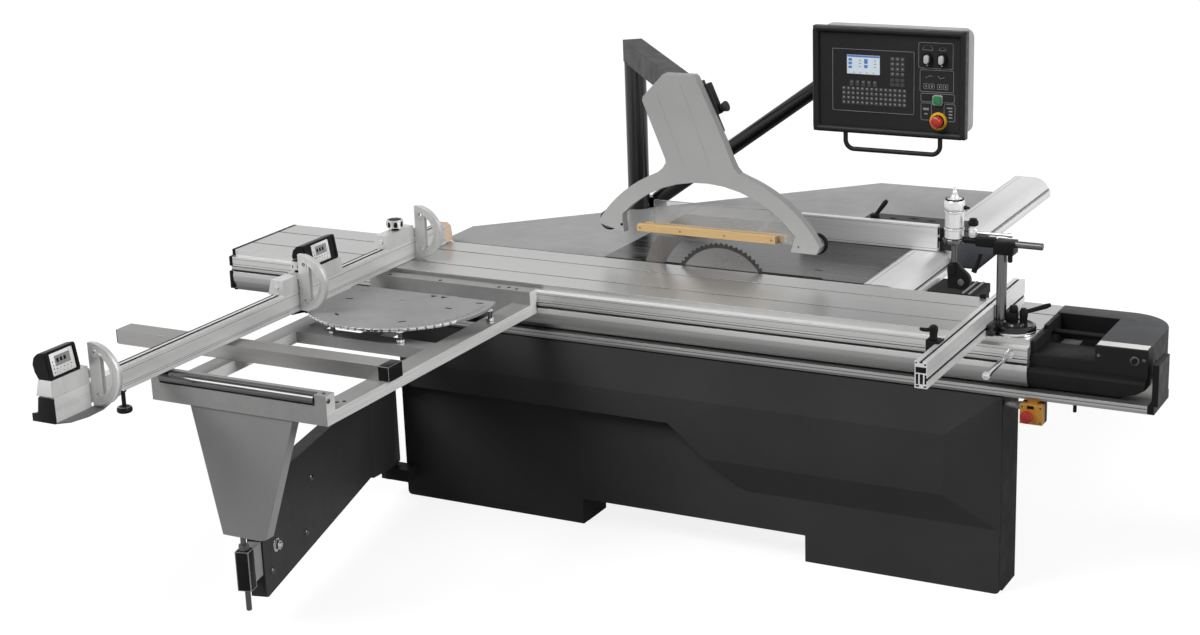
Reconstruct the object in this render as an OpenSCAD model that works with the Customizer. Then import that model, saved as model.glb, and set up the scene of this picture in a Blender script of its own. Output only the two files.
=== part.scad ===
// Sliding table saw: a fixed beam carries a long aluminium carriage, and the saw unit hangs under a cast table.
// Frame: millimetres, +Z up, +X along the carriage, origin on the floor at the centre of the four anchor holes.
// The blade stands at x = 0, and the operator's side is towards -Y.

/* [Machine] */
// Height of the table top above the floor
table_h = 900; // [885:1:915]
// Half distance between the anchor holes along X
anchor_x = 800; // [760:1:830]
// Half distance between the anchor holes along Y
anchor_y = 495; // [488:1:500]
// Radius of the anchor holes
anchor_r = 9; // [7:0.5:12]

/* [Carriage] */
// Length of the aluminium carriage
carriage_l = 3196; // [3000:1:3400]
// Depth of the grooves in the carriage top
groove_d = 3.5; // [2:0.5:5]
// Width of the grooves in the carriage top
groove_w = 8; // [5:0.5:12]

/* [Blade] */
// Diameter of the main blade
blade_d = 400; // [380:1:404]
// Height of the blade above the table
blade_up = 99; // [80:1:104]
// Thickness of the blade
blade_t = 3.2; // [2.6:0.1:3.4]
// Number of teeth
teeth = 60; // [36:12:72]

/* [Table] */
// Thickness of the cast table
table_t = 40; // [34:1:44]
// Thickness of the sheet plates beside the table
plate_t = 14; // [8:1:18]

/* [Crosscut table] */
// Width of the crosscut frame along X
frame_w = 690; // [640:1:740]
// Width of the frame's bars
bar_w = 78; // [60:1:84]
// Radius of the front roller
roller_r = 17; // [12:0.5:19]
// Height of the crosscut fence
fence_h = 76; // [70:1:84]
// Front end of the crosscut fence, measured from the pivot line
fence_out = 1176; // [1140:1:1250]

/* [Guard] */
// Thickness of the guard plate
hood_t = 38; // [30:1:44]
// Diameter of the guard post
post_d = 88; // [78:1:92]
// Height of the strips on the guard
strip_h = 26; // [20:1:32]

/* [Control panel] */
// Width of the control panel
panel_w = 606; // [580:1:640]
// Height of the control panel
panel_h = 404; // [390:1:420]
// Depth of the box behind the control panel
panel_d = 90; // [70:1:90]
// Diameter of the boom
boom_d = 62; // [50:1:64]

/* [Rip fence] */
// Length of the rip fence
rip_l = 551; // [480:1:620]
// Height of the rip fence
rip_h = 96; // [80:1:110]
// Length of the guide rail
guide_l = 1780; // [1600:1:1900]

/* [Clamps] */
// Length of the clamp bar
clamp_l = 980; // [900:1:1040]
// Radius of the hold-down column
column_r = 17; // [14:0.5:18]

/* [Hidden] */
$fn = 64;
T = table_h;
eps = 0.01;
// Running clearance of sliding pieces
slide_gap = 0.5;
// Radial clearance of pins and shafts
pin_gap = 0.1;
car_x1 = 1287;
car_x0 = car_x1 - carriage_l;
car_y1 = -150;
car_y0 = -558;
front_y = -582;
blade_y = -142;
blade_r = blade_d/2;
blade_z = T + blade_up - blade_r;
fr_x1 = -532;
fr_x0 = fr_x1 - frame_w;
fr_y0 = -1899;
fr_z0 = T - 101;
fr_z1 = T - 60;
// Telescopic bar: it lies on the side bars of the frame
tele_y = [-1565, -1487];
tele_z = [fr_z1 + slide_gap, T - 8];
roller_y = fr_y0 + 10;
roller_z = T - 3 - roller_r;
pivot = [-880, -930];
fence_x1 = fr_x0 + 67;
fence_x0 = fence_x1 - 50;
fence_xm = fence_x1 - 25;
fence_y0 = pivot[1] - fence_out;
fence_z0 = T + 2;
fence_z1 = fence_z0 + fence_h;
stop_ys = [-2250, -1161, -414];
leg_z = T - 537;
hinge = [-1190, -620];
arm_turn = 13;
arm_end = 1190;
// Heights on the swing arm go with the leg above it
function arm_z(h) = h*leg_z/363;
tube_z = [arm_z(184), arm_z(300)];
hood_y = [-150, -150 + hood_t];
arch = [-62, T - 148];
neck_lean = 23.5;
guard_rollers = [[-478, T + 137], [362, T + 119]];
roller_big = 38;
post = [-718, 604];
guard_dir = -51;
pin_x = fence_x1 - 13;
boom_y = 660;
boom_tilt = 35.4;
swivel = [340, 660];
pan_x0 = 100;
pan_y = 500;
pan_z0 = T + 398;
grip_x = [226, 604];
grip_bend = 34;
box_y1 = pan_y + 30 + panel_d;
guide_x0 = 550;
guide_x1 = 696;
guide_y0 = -130;
rip_y = 363;
rip_z = T + 2;
column = [1168, -490];
head_z = T + 262;

// A box between pairs of coordinates
module box(x, y, z) {
    translate([x[0], y[0], z[0]]) cube([x[1] - x[0], y[1] - y[0], z[1] - z[0]]);
}

// Round bars along each axis
module rod_x(x, y, z, r) {
    translate([x[0], y, z]) rotate([0, 90, 0]) cylinder(h = x[1] - x[0], r = r);
}
module rod_y(x, y, z, r) {
    translate([x, y[0], z]) rotate([-90, 0, 0]) cylinder(h = y[1] - y[0], r = r);
}
module rod_z(x, y, z, r) {
    translate([x, y, z[0]]) cylinder(h = z[1] - z[0], r = r);
}

// An outline drawn in (y, z), run along X
module along_x(x) {
    translate([x[0], 0, 0]) rotate([90, 0, 90]) linear_extrude(x[1] - x[0]) children();
}
// An outline drawn in (x, z), run along Y
module along_y(y) {
    translate([0, y[1], 0]) rotate([90, 0, 0]) linear_extrude(y[1] - y[0]) children();
}
// An outline drawn in (x, y), run along Z
module along_z(z) {
    translate([0, 0, z[0]]) linear_extrude(z[1] - z[0]) children();
}

// A part of a ring, drawn flat, between two angles
module ring_part(r0, r1, a0, a1) {
    n = 24;
    polygon(concat(
        [for (i = [0:n]) let (a = a0 + (a1 - a0)*i/n) [r1*cos(a), r1*sin(a)]],
        [for (i = [n:-1:0]) let (a = a0 + (a1 - a0)*i/n) [r0*cos(a), r0*sin(a)]]));
}

// The convex shape around a list of points
module points_hull(pts) {
    hull() for (p = pts) translate(p) cube(0.02, center = true);
}

// Base and fixed pieces

module front_foot(x) {
    difference() {
        box(x, [-542, -407], [0, 98 + eps]);
        box([x[0] + 10, x[1] - 10], [-534, -400], [14, 99]);
    }
}

module saddle(x) {
    difference() {
        box(x, [-80, 60], [T - 310, T - 210]);
        rod_x([x[0] - 1, x[1] + 1], blade_y, T, 261);
    }
}

// Side wall: it steps down under the rail and under the carriage
module wall_outline() {
    polygon([[-407, 98], [-407, T - 194], [-395, T - 194], [-395, T - 100], [-160, T - 100],
        [-160, T - table_t], [430, T - table_t], [430, 98]]);
}

module base_frame() {
    color([0.2, 0.2, 0.21]) difference() {
        union() {
            difference() {
                box([-1140, 1203], [-542, -407], [98, T - 194]);
                box([-1130, 1193], [-534, -400], [110, T - 204]);
            }
            front_foot([-1140, -379]);
            front_foot([513, 1203]);
            along_x([-480, -472]) wall_outline();
            along_x([532, 540]) wall_outline();
            box([-480, 540], [422, 430], [98, T - table_t]);
            box([-480, 540], [-407, 430], [98, 106]);
            box([-480, -380], [300, 460], [0, 98 + eps]);
            box([440, 540], [300, 460], [0, 98 + eps]);
            box([-860, 860], [440, 550], [0, 14]);
            saddle([-472 - eps, -414]);
            saddle([414, 532 + eps]);
            // arms under the sheet plates
            for (a = [[-1120, -90], [-900, 250]]) {
                box([a[0], -480], [a[1], a[1] + 40], [T - 90, T - table_t - 8]);
                box([a[0], -500], [a[1], a[1] + 40], [T - table_t - 8 - eps, T - plate_t]);
            }
            for (a = [[-150, 1060], [300, 1250]]) {
                box([a[0], a[0] + 40], [430, a[1]], [T - 90, T - table_t - 8]);
                box([a[0], a[0] + 40], [575, a[1]], [T - table_t - 8 - eps, T - plate_t]);
            }
            // tray beside the guide rail, on an arm under it
            box([540 - eps, 890], [100, 250], [T - 130, T - 104]);
            box([guide_x1 + 16, 890], [90, 262], [T - 104 - eps, T - 70]);
            // bracket under the guard post and the boom
            box([-480, -420], [430 - eps, 700], [T - 160, T - 100]);
            box([-800, -480 + eps], [540, 700], [T - 160, T - 100]);
            // hinge of the swing arm
            for (z = [[80, 128], [462, 500]])
                box([-1216, -1095], [-652, front_y], [arm_z(z[0]), arm_z(z[1])]);
            rod_z(hinge[0], hinge[1], [arm_z(80), arm_z(500)], 14);
            // dust spigot
            rod_y(300, [429, 510], 250, 60);
        }
        for (x = [-anchor_x, anchor_x]) for (y = [-anchor_y, anchor_y]) rod_z(x, y, [-1, 15], anchor_r);
        rod_y(300, [400, 511], 250, 57);
    }
}

module front_panel() {
    top = T - 200;
    color([0.24, 0.24, 0.25]) union() {
        box([-1146, 1209], [front_y, -542], [98, top]);
        box([-1146, -373], [front_y, -542], [0, 98 + eps]);
        box([507, 1209], [front_y, -542], [0, 98 + eps]);
        box([-1146, -1140], [-542 - eps, -407], [0, top]);
        box([1203, 1209], [-542 - eps, -407], [0, top]);
        box([-379, -373], [-542 - eps, -407], [0, 98]);
        box([507, 513], [-542 - eps, -407], [0, 98]);
        // raised field across the top
        points_hull([[-1090, front_y, top], [1205, front_y, top], [-1090, front_y, 460], [1205, front_y, 460],
            [-1090, front_y - 40, 558], [1022, front_y - 40, 558],
            [-1090, front_y - 40, 460], [1022, front_y - 40, 460]]);
        // raised field on the right
        points_hull([[0, front_y, 460], [0, front_y, top], [283, front_y, 231], [1205, front_y, 231],
            [1205, front_y, top], [0, front_y - 40, 558], [0, front_y - 40, 460], [142, front_y - 40, 345],
            [1022, front_y - 40, 345], [1022, front_y - 40, 558]]);
    }
}

module rail_outline() {
    polygon([[-584, T - 194], [-590, T - 184], [-590, T - 165], [-512, T - 165], [-512, T - 100],
        [-420, T - 100], [-420, T - 165], [-396, T - 165], [-396, T - 194]]);
}

module fixed_rail() {
    color([0.78, 0.79, 0.8]) along_x([-1250, 1680]) rail_outline();
}

module rail_ends() {
    color([0.08, 0.08, 0.08]) union() {
        along_x([1680, 1701]) rail_outline();
        along_x([-1258, -1250]) rail_outline();
        box([1692, 1712], [-586, -452], [T - 166, T - 28]);
        rod_x([1678, 1693], -490, T - 60, 18);
    }
}

module cast_table() {
    color([0.6, 0.6, 0.61]) box([-485, 550], [blade_y + 6, 560], [T - table_t, T]);
}

module sheet(pts) {
    along_z([T - plate_t, T]) polygon(pts);
}

module left_plate() {
    color([0.62, 0.62, 0.63]) difference() {
        sheet([[-1150, blade_y], [-1204, -80], [-1204, 84], [-487, 789], [-487, blade_y]]);
        rod_z(post[0], post[1], [T - plate_t - 1, T + 1], post_d/2 + 2);
    }
}

module rear_plate() {
    color([0.62, 0.62, 0.63])
        sheet([[-485, 562], [-485, 791], [63, 1330], [549, 1336], [549, 562]]);
}

module guide_rail() {
    n = 12;
    color([0.8, 0.81, 0.82]) along_y([guide_y0, guide_y0 + guide_l]) polygon(concat(
        [[guide_x0, T - 80], [guide_x0, T - 1]],
        [for (i = [0:n]) [guide_x1 - 68 + 68*sin(i*90/n), T - 66 + 65*cos(i*90/n)]],
        [[guide_x1, T - 80], [670, T - 80], [670, T - 100], [590, T - 100], [590, T - 80]]));
}

module guard_post() {
    color([0.1, 0.1, 0.1]) union() {
        rod_z(post[0], post[1], [T - 100, T + 600], post_d/2);
        rod_z(post[0], post[1], [T - 100, T - 85], 55);
    }
}

module guard_arm() {
    color([0.25, 0.25, 0.26]) union() {
        translate([post[0], post[1], T + 600]) rotate([0, 0, guard_dir])
            box([-44, 845], [-39, 39], [0, 88]);
        // guide that the guard slides on, with a clamp block at its side
        guide_frame() difference() {
            union() {
                box([-52, 106], [hood_y[1] + slide_gap, hood_y[1] + 44], [-110, 90]);
                box([104, 132], [hood_y[1] + slide_gap, hood_y[1] + 40], [-44, 72]);
            }
            rod_x([112, 134], hood_y[1] + 24, -28, 5 + pin_gap);
        }
    }
}

module guide_frame() {
    translate([-150, 0, T + 560]) rotate([0, -neck_lean, 0]) children();
}

module panel_boom() {
    color([0.09, 0.09, 0.09]) difference() {
        union() {
            translate([-660, boom_y, T + 25.4]) rotate([0, 90 - boom_tilt, 0])
                cylinder(h = 1215.4, r = boom_d/2);
            box([-725, -640], [boom_y, boom_y + 40], [T - 100, T + 30]);
            rod_z(swivel[0], swivel[1], [T + 660, T + 760], 32);
        }
        rod_z(swivel[0], swivel[1], [T + 600, T + 800], 10 + pin_gap);
        // room for the lugs of the panel
        box([300, 400], [600, 720], [T + 600, T + 660]);
        box([300, 400], [600, 720], [T + 760, T + 860]);
    }
}

module estop_box() {
    color([0.9, 0.55, 0.1]) difference() {
        union() {
            box([1269, 1344], [-592, -540], [T - 276, T - 210]);
            box([1290, 1322], [-575, -545], [T - 210 - eps, T - 194]);
            rod_x([1209, 1269 + eps], -560, T - 226, 8);
        }
        rod_y(1298, [-593, -560], T - 246, 8 + pin_gap);
    }
}

module estop_box_button() {
    color([0.75, 0.1, 0.12]) union() {
        rod_y(1298, [-612, -570], T - 246, 8);
        rod_y(1298, [-622, -604], T - 246, 18);
    }
}

// Saw unit

module tilt_trunnion() {
    color([0.35, 0.36, 0.38]) union() {
        for (x = [[-428, -414], [414, 428]])
            along_x(x) translate([blade_y, T]) ring_part(80, 260, -90, -35);
        box([-414 - eps, 414 + eps], [-59.5, -40], [T - 100, T - 52]);
        box([-150, 150], [-59.5, -40], [T - 380, T - 60]);
    }
}

module saw_unit() {
    color([0.3, 0.32, 0.35]) difference() {
        union() {
            box([-70, 70], [-124, -60], [blade_z - 54, blade_z + 26]);
            box([-335, -60], [-124, -100], [blade_z - 160, blade_z]);
            rod_y(-255, [-110, 110], blade_z - 139, 75);
        }
        rod_y(0, [-130, -50], blade_z, 15 + pin_gap);
    }
}

module riving_knife() {
    color([0.45, 0.45, 0.46]) union() {
        intersection() {
            along_y([blade_y - 1.2, blade_y + 1.2]) translate([0, blade_z])
                ring_part(blade_r + 24, 330, 100, 182);
            box([-400, 0], [-200, -100], [blade_z - 80, T + 106]);
        }
        box([-318, -232], [blade_y + 1.2 - eps, -124], [blade_z - 60, blade_z - 5]);
    }
}

module main_blade() {
    step = 360/teeth;
    color([0.7, 0.71, 0.73]) union() {
        along_y([blade_y - blade_t/2, blade_y + blade_t/2]) translate([0, blade_z])
            polygon([for (i = [0:teeth - 1]) for (k = [0:2]) let (
                a = (i + [0, 0.28, 0.42][k])*step, r = [blade_r, blade_r - 4, blade_r - 11][k])
                [r*cos(a), r*sin(a)]]);
        rod_y(0, [blade_y - blade_t/2 - 4, blade_y], blade_z, 30);
        rod_y(0, [blade_y, -126], blade_z, 30);
        rod_y(0, [-127, -62], blade_z, 15);
    }
}

// Guard

function arc_at(r, a0, a1) = [for (i = [0:12]) let (a = a0 + (a1 - a0)*i/12)
    [arch[0] + r*cos(a), arch[1] + r*sin(a)]];

module guard_hood() {
    z = T;
    outer = 527;
    inner = 468;
    color([0.58, 0.58, 0.57]) difference() {
        along_y(hood_y) polygon(concat(
            [[297, z + 152], [278, z + 92], [378, z + 92], [391, z + 120]],
            arc_at(outer, 35, 70.7),
            [[80, z + 362], [62, z + 382], [44, z + 420], [22, z + 477], [-86, z + 706], [-96, z + 714],
                [-215, z + 713], [-300, z + 626], [-303, z + 610], [-216, z + 400], [-214, z + 385],
                [-226, z + 366], [-244, z + 350]],
            arc_at(outer, 112.3, 145),
            [[-500, z + 132], [-395, z + 107], [-400, z + 157]],
            arc_at(inner, 136, 40)));
        for (p = guard_rollers) rod_y(p[0], [hood_y[1] - 12, hood_y[1] + 1], p[1], 6 + pin_gap);
    }
}

module clear_guard() {
    color([0.85, 0.9, 0.92, 0.5])
        box([-286, 300], [hood_y[1], hood_y[1] + 4], [T + 110, T + 232]);
}

module wood_strips() {
    y = hood_y[1];
    color([0.83, 0.66, 0.42]) union() {
        box([-347, 212], [y - 24, y], [T + 112, T + 112 + strip_h]);
        box([-330, 235], [y + 4, y + 28], [T + 112, T + 112 + strip_h]);
    }
}

module guard_roller(p) {
    y = hood_y[1];
    color([0.07, 0.07, 0.07]) union() {
        rod_y(p[0], [y + 1, y + 20], p[1], roller_big);
        rod_y(p[0], [y - 11, y + 2], p[1], 6);
    }
}

module guard_knob() {
    y = hood_y[1];
    color([0.15, 0.15, 0.15]) guide_frame() union() {
        rod_x([114, 148], y + 24, -28, 5);
        rod_x([146, 162], y + 24, -28, 17);
    }
}

// Control panel

module panel_box() {
    x1 = pan_x0 + panel_w;
    color([0.6, 0.61, 0.63]) union() {
        box([pan_x0 + 8, x1 - 8], [pan_y + 30, box_y1], [pan_z0 + 6, pan_z0 + panel_h - 4]);
        for (z = [[T + 644, T + 659.5], [T + 760.5, T + 776]])
            box([swivel[0] - 28, swivel[0] + 28], [box_y1 - eps, swivel[1] + 26], z);
        rod_z(swivel[0], swivel[1], [T + 644, T + 776], 10);
    }
}

// A quarter bend of the grip, from the turn's angle on
module grip_elbow(x, turn) {
    translate([x, pan_y + 15, pan_z0 - 66 + grip_bend]) rotate([90, 0, 0]) rotate([0, 0, turn])
        rotate_extrude(angle = 90) translate([grip_bend, 0]) circle(r = 9);
}

module panel_bezel() {
    x1 = pan_x0 + panel_w;
    color([0.06, 0.06, 0.06]) difference() {
        union() {
            box([pan_x0, x1], [pan_y, pan_y + 30], [pan_z0, pan_z0 + panel_h]);
            // bent grip under the panel
            rod_z(grip_x[0], pan_y + 15, [pan_z0 - 66 + grip_bend, pan_z0 + eps], 9);
            rod_z(grip_x[1], pan_y + 15, [pan_z0 - 66 + grip_bend, pan_z0 + eps], 9);
            rod_x([grip_x[0] + grip_bend, grip_x[1] - grip_bend], pan_y + 15, pan_z0 - 66, 9);
            grip_elbow(grip_x[0] + grip_bend, 180);
            grip_elbow(grip_x[1] - grip_bend, 270);
        }
        box([pan_x0 + 22, x1 - 22], [pan_y - 1, pan_y + 6], [pan_z0 + 22, pan_z0 + panel_h - 22]);
        for (x = [556, 613]) rod_y(x, [pan_y, pan_y + 22], pan_z0 + 296, 5 + pin_gap);
        rod_y(597, [pan_y, pan_y + 22], pan_z0 + 144, 8 + pin_gap);
        rod_y(600, [pan_y, pan_y + 22], pan_z0 + 65, 8 + pin_gap);
    }
}

module panel_keypad() {
    color([0.13, 0.13, 0.13]) box([177, 506], [pan_y + 3, pan_y + 6], [pan_z0 + 82, pan_z0 + 322]);
}

module panel_estop() {
    color([0.75, 0.1, 0.12]) union() {
        rod_y(600, [pan_y - 12, pan_y + 14], pan_z0 + 65, 8);
        rod_y(600, [pan_y - 24, pan_y - 4], pan_z0 + 65, 20);
    }
}

module start_button() {
    color([0.1, 0.5, 0.25]) union() {
        rod_y(597, [pan_y - 2, pan_y + 14], pan_z0 + 144, 8);
        rod_y(597, [pan_y - 6, pan_y - 1], pan_z0 + 144, 13);
    }
}

module mode_switch(x) {
    color([0.1, 0.1, 0.1]) union() {
        rod_y(x, [pan_y - 2, pan_y + 20], pan_z0 + 296, 5);
        rod_y(x, [pan_y - 4, pan_y + 5.5], pan_z0 + 296, 15);
        box([x - 4, x + 4], [pan_y - 16, pan_y - 3], [pan_z0 + 282, pan_z0 + 310]);
    }
}

// Carriage and its handle

module carriage_outline() {
    polygon([[car_y1, T], [car_y0, T], [car_y0, T - 22], [car_y0 - 24, T - 24], [car_y0 - 24, T - 60],
        [car_y0 - 4, T - 64], [car_y0 - 4, T - 78], [car_y0 - 26, T - 82], [car_y0 - 29, T - 100],
        [car_y0 - 27, T - 120], [car_y0 - 21, T - 140], [car_y0 - 12, T - 155], [car_y0, T - 162],
        [-512 - slide_gap, T - 162], [-512 - slide_gap, T - 100 + slide_gap],
        [-420 + slide_gap, T - 100 + slide_gap], [-420 + slide_gap, T - 150], [-405, T - 150],
        [-405, T - 88], [-238, T - 84], [-188, T - 34], [-180, T - 34], [car_y1, T - 4.2]]);
}

module carriage() {
    color([0.82, 0.83, 0.84]) difference() {
        along_x([car_x0, car_x1]) carriage_outline();
        for (y = [-443, -267])
            box([car_x0 - 1, car_x1 + 1], [y - groove_w/2, y + groove_w/2], [T - groove_d, T + 1]);
    }
}

module carriage_cap() {
    color([0.07, 0.07, 0.07]) along_x([car_x0 - 8, car_x0]) carriage_outline();
}

module handle_unit() {
    x0 = car_x1;
    x1 = 1670;
    xm = 1500;
    color([0.12, 0.12, 0.12]) union() {
        difference() {
            union() {
                intersection() {
                    along_x([x0, x1 - 2]) polygon([[-576, T - 90], [-580, T - 102], [-577, T - 120],
                        [-571, T - 140], [-562, T - 155], [-550, T - 162], [-512 - slide_gap, T - 162],
                        [-512 - slide_gap, T - 100 + slide_gap], [-400, T - 100 + slide_gap], [-400, T - 90]]);
                    along_y([-600, -300]) polygon([[x0, T - 170], [1480, T - 170], [1570, T - 160],
                        [1640, T - 138], [x1, T - 118], [x1, T], [x0, T]]);
                }
                along_z([T - 92, T + 5]) handle_outline();
            }
            box([x0 + 13, xm], [-410, -250], [T - 80, T + 6]);
            box([x0 - 1, xm], [-560, -400], [T - 48, T + 6]);
            rod_y(1627, [-557, -536], T - 32, 9 + 2*pin_gap);
        }
        box([x0, x0 + 13], [-545, -400], [T - 49, T - 8]);
        rod_x([x0 + 13 - eps, xm + eps], -345, T - 30, 9);
    }
}

// Seen from above: square at the front, rounded at the rear right
module handle_outline() {
    polygon([[car_x1, -165], [car_x1, -556], [1670, -556], [1670, -315], [1520, -315], [1520, -165]]);
    translate([1520, -315]) circle(r = 150);
}

module push_button() {
    color([0.05, 0.05, 0.05]) rod_y(1627, [-562, -543], T - 32, 9);
}

module push_bar() {
    color([0.85, 0.85, 0.86]) union() {
        rod_y(1228, [-592, car_y0 - 24], T - 48, 11);
        rod_y(1228, [-806, -591], T - 48, 9);
        rod_y(1228, [-824, -804], T - 48, 13);
    }
}

// Crosscut table

module crosscut_frame() {
    z = [fr_z0, fr_z1];
    y1 = car_y0 - 24;
    color([0.74, 0.74, 0.74]) difference() {
        union() {
            box([fr_x0, fr_x0 + bar_w], [fr_y0, y1 - 20], z);
            box([fr_x1 - bar_w, fr_x1], [fr_y0, y1 - 20], z);
            box([fr_x0, fr_x1], [fr_y0, fr_y0 + 46], [fr_z0, T - 2]);
            box([fr_x0, fr_x1], [-1213, -1143], z);
            box([fr_x0, fr_x1], [y1 - 50, y1 - 6], [fr_z0, T - 11]);
            box([fr_x0, fr_x1], [y1 - 6 - eps, y1], [T - 60, T - 11]);
            box([pivot[0] - 40, pivot[0] + 40], [-1150, y1 - 40], [fr_z1 - 30, fr_z1]);
            rod_z(pivot[0], pivot[1], [fr_z1 - 30, T - 9.5], 32);
            rod_z(pivot[0], pivot[1], [fr_z1 - 30, T - 1], 15);
            // guides behind the telescopic bar
            for (x = [fr_x0, fr_x1 - bar_w])
                box([x, x + bar_w], [tele_y[1] + slide_gap, tele_y[1] + 10], [fr_z1 - eps, fr_z1 + 24]);
            for (p = [[-570, -850], [-728, -1182], [-1008, -1182]])
                rod_z(p[0], p[1], [fr_z1 - 5, T - 9.5], 8);
        }
        // trough of the roller, open to the front and to the top
        rod_x([fr_x0 + 34, fr_x1 - 45], roller_y, roller_z, roller_r + 2);
        box([fr_x0 + 34, fr_x1 - 45], [fr_y0 - 1, roller_y], [roller_z - roller_r - 2, T + 1]);
        box([fr_x0 + 34, fr_x1 - 45], [roller_y - eps, roller_y + roller_r + 2], [roller_z, T + 1]);
        rod_x([fr_x0 + 14, fr_x0 + 40], roller_y, roller_z, 6 + pin_gap);
        rod_x([fr_x1 - 50, fr_x1 - 25], roller_y, roller_z, 6 + pin_gap);
    }
}

module support_leg() {
    color([0.5, 0.5, 0.5]) along_y([fr_y0 + 4, fr_y0 + 44])
        polygon([[-1072, fr_z0], [-669, fr_z0], [-813, leg_z + 8], [-838, leg_z], [-987, leg_z]]);
}

module frame_roller() {
    color([0.88, 0.88, 0.89]) union() {
        rod_x([fr_x0 + 36, fr_x1 - 47], roller_y, roller_z, roller_r);
        rod_x([fr_x0 + 18, fr_x1 - 29], roller_y, roller_z, 6);
    }
}

module telescopic_bar() {
    color([0.45, 0.44, 0.43]) union() {
        box([-1646, fr_x1 - 30], tele_y, tele_z);
        box([fr_x1 - 30 - eps, fr_x1 + 12], [tele_y[0] - 3, tele_y[1]], tele_z);
    }
}

module crosscut_fence() {
    color([0.8, 0.81, 0.82]) difference() {
        union() {
            box([fence_x0, fence_x1], [fence_y0, -200], [fence_z0, fence_z1]);
            box([fence_x0, fence_x1], [-1090, -850], [T, fence_z0 + eps]);
            rod_z(fence_xm, fence_y0 + 22, [T - 60, fence_z0 + eps], 6);
            rod_z(fence_xm, fence_y0 + 22, [T - 76, T - 59], 20);
        }
        box([fence_x0 + 6, fence_x1 - 6], [fence_y0 - 1, -400], [fence_z0 + 6, fence_z1 - 6]);
        box([fence_xm - 7, fence_xm + 7], [fence_y0 - 1, -199], [fence_z1 - 3, fence_z1 + 1]);
    }
}

module mitre_plate() {
    color([0.55, 0.55, 0.55]) difference() {
        intersection() {
            rod_z(pivot[0], pivot[1], [T - 9, T], 335);
            box([fr_x0 - 78, fr_x1 + 32], [-1300, -812], [T - 10, T + 1]);
        }
        rod_z(pivot[0], pivot[1], [T - 10, T + 1], 15 + pin_gap);
    }
}

module fence_extension() {
    y = stop_ys[0];
    color([0.75, 0.76, 0.77]) union() {
        box([fence_x0 + 6.3, fence_x1 - 6.3], [y - 170, -1300], [fence_z0 + 6.3, fence_z1 - 6.3]);
        box([fence_x0 - 4, fence_x1 + 4], [y - 170, y - 12], [fence_z0 - 4, fence_z1]);
        // rest for the workpiece
        along_z([fence_z0 - 6, fence_z0 - 2]) polygon([[fence_x1 + 1, y - 170], [fence_x1 + 35, y - 140],
            [fence_x1 + 50, y - 80], [fence_x1 + 47, y - 10], [fence_x1 + 1, y + 126]]);
    }
}

// A stop: a block on the fence and a plate that flips up on its pin
module stop_outline() {
    z = fence_z1;
    polygon([[fence_x0 - 15, z + 0.4], [fence_x1 + 4, z + 0.4], [fence_x1 + 1, z + 54], [fence_x0, z + 54]]);
}

module stop_block(y, front, back, knob, knob_r) {
    z = fence_z1;
    color([0.72, 0.72, 0.73]) union() {
        along_y([y - front, y - 8]) stop_outline();
        if (back > 0) along_y([y + 10, y + back]) stop_outline();
        rod_y(pin_x, [y - 9, y + (back > 0 ? 11 : 8)], z + 27, 6);
        if (knob) rod_z(fence_xm, y - knob, [z + 53, z + 66], 9);
        if (knob) rod_z(fence_xm, y - knob, [z + 65, z + 94], knob_r);
    }
}

module stop_flip(y) {
    z = fence_z1 + 28;
    x = fence_x1;
    c = [x + 18, z];
    color([0.7, 0.7, 0.71]) along_y([y - 6, y + 8]) difference() {
        union() {
            intersection() {
                translate(c) circle(r = 102);
                polygon([[x + 7, z - 120], [x + 7, z + 120], [x + 155, z + 120], [x + 155, z - 120]]);
            }
            polygon([[pin_x, z - 12], [x + 15, z - 14], [x + 15, z + 14], [pin_x, z + 10]]);
            translate([pin_x, z - 1]) circle(r = 14);
        }
        translate([pin_x, z - 1]) circle(r = 6 + pin_gap);
        intersection() {
            translate(c) circle(r = 72);
            polygon([[x + 52, z - 80], [x + 52, z + 80], [x + 155, z + 80], [x + 155, z - 80]]);
        }
        for (k = [-66, 66]) translate([x + 32, z + k]) circle(r = 8);
    }
}

module stop_display(y) {
    z = fence_z1 + 54;
    x = fence_x1;
    color([0.08, 0.08, 0.08]) along_y(y)
        polygon([[x + 1, z], [x - 48, z], [x - 61, z + 22], [x - 66, z + 45], [x - 60, z + 66],
            [x - 45, z + 80], [x - 27, z + 84], [x - 14, z + 86]]);
}

// Swing arm under the crosscut table: drawn along -Y from the hinge, then turned

module arm_frame() {
    translate([hinge[0], hinge[1], 0]) rotate([0, 0, arm_turn]) children();
}

// Seen from the side: along the arm, and up
module arm_outline(pts) {
    rotate([90, 0, -90]) linear_extrude(55) polygon([for (p = pts) [p[0], arm_z(p[1])]]);
}

module swing_arm() {
    color([0.13, 0.13, 0.13]) arm_frame() difference() {
        union() {
            arm_outline([[10, 150], [10, 458], [120, 458], [430, 478], [985, 480], [arm_end, 330],
                [arm_end, 104], [arm_end - 14, 98], [136, 160]]);
            rod_z(0, 0, [arm_z(131), arm_z(459)], 30);
        }
        rod_z(0, 0, [arm_z(100), arm_z(480)], 14 + pin_gap);
        // hollow inside
        intersection() {
            arm_outline([[60, 166], [60, 452], [118, 452], [430, 472], [983, 474], [arm_end - 6, 326],
                [arm_end - 6, 112], [140, 166]]);
            box([-49, -6], [-arm_end, 0], [0, 2*leg_z]);
        }
        box([-49, -6], [-arm_end - 1, -arm_end + 8], [tube_z[0] - 2, tube_z[1] + 2]);
    }
}

module arm_tube() {
    color([0.6, 0.6, 0.6]) arm_frame() union() {
        box([-48.7, -6.3], [-arm_end - 60, -120], tube_z);
        box([-52, -4], [-arm_end - 104, -arm_end - 59], [arm_z(168), arm_z(306)]);
        rod_z(-28, -arm_end - 82, [arm_z(94), leg_z - 8], 9);
        rod_z(-28, -arm_end - 82, [tube_z[1], arm_z(326)], 16);
    }
}

// Rip fence

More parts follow.
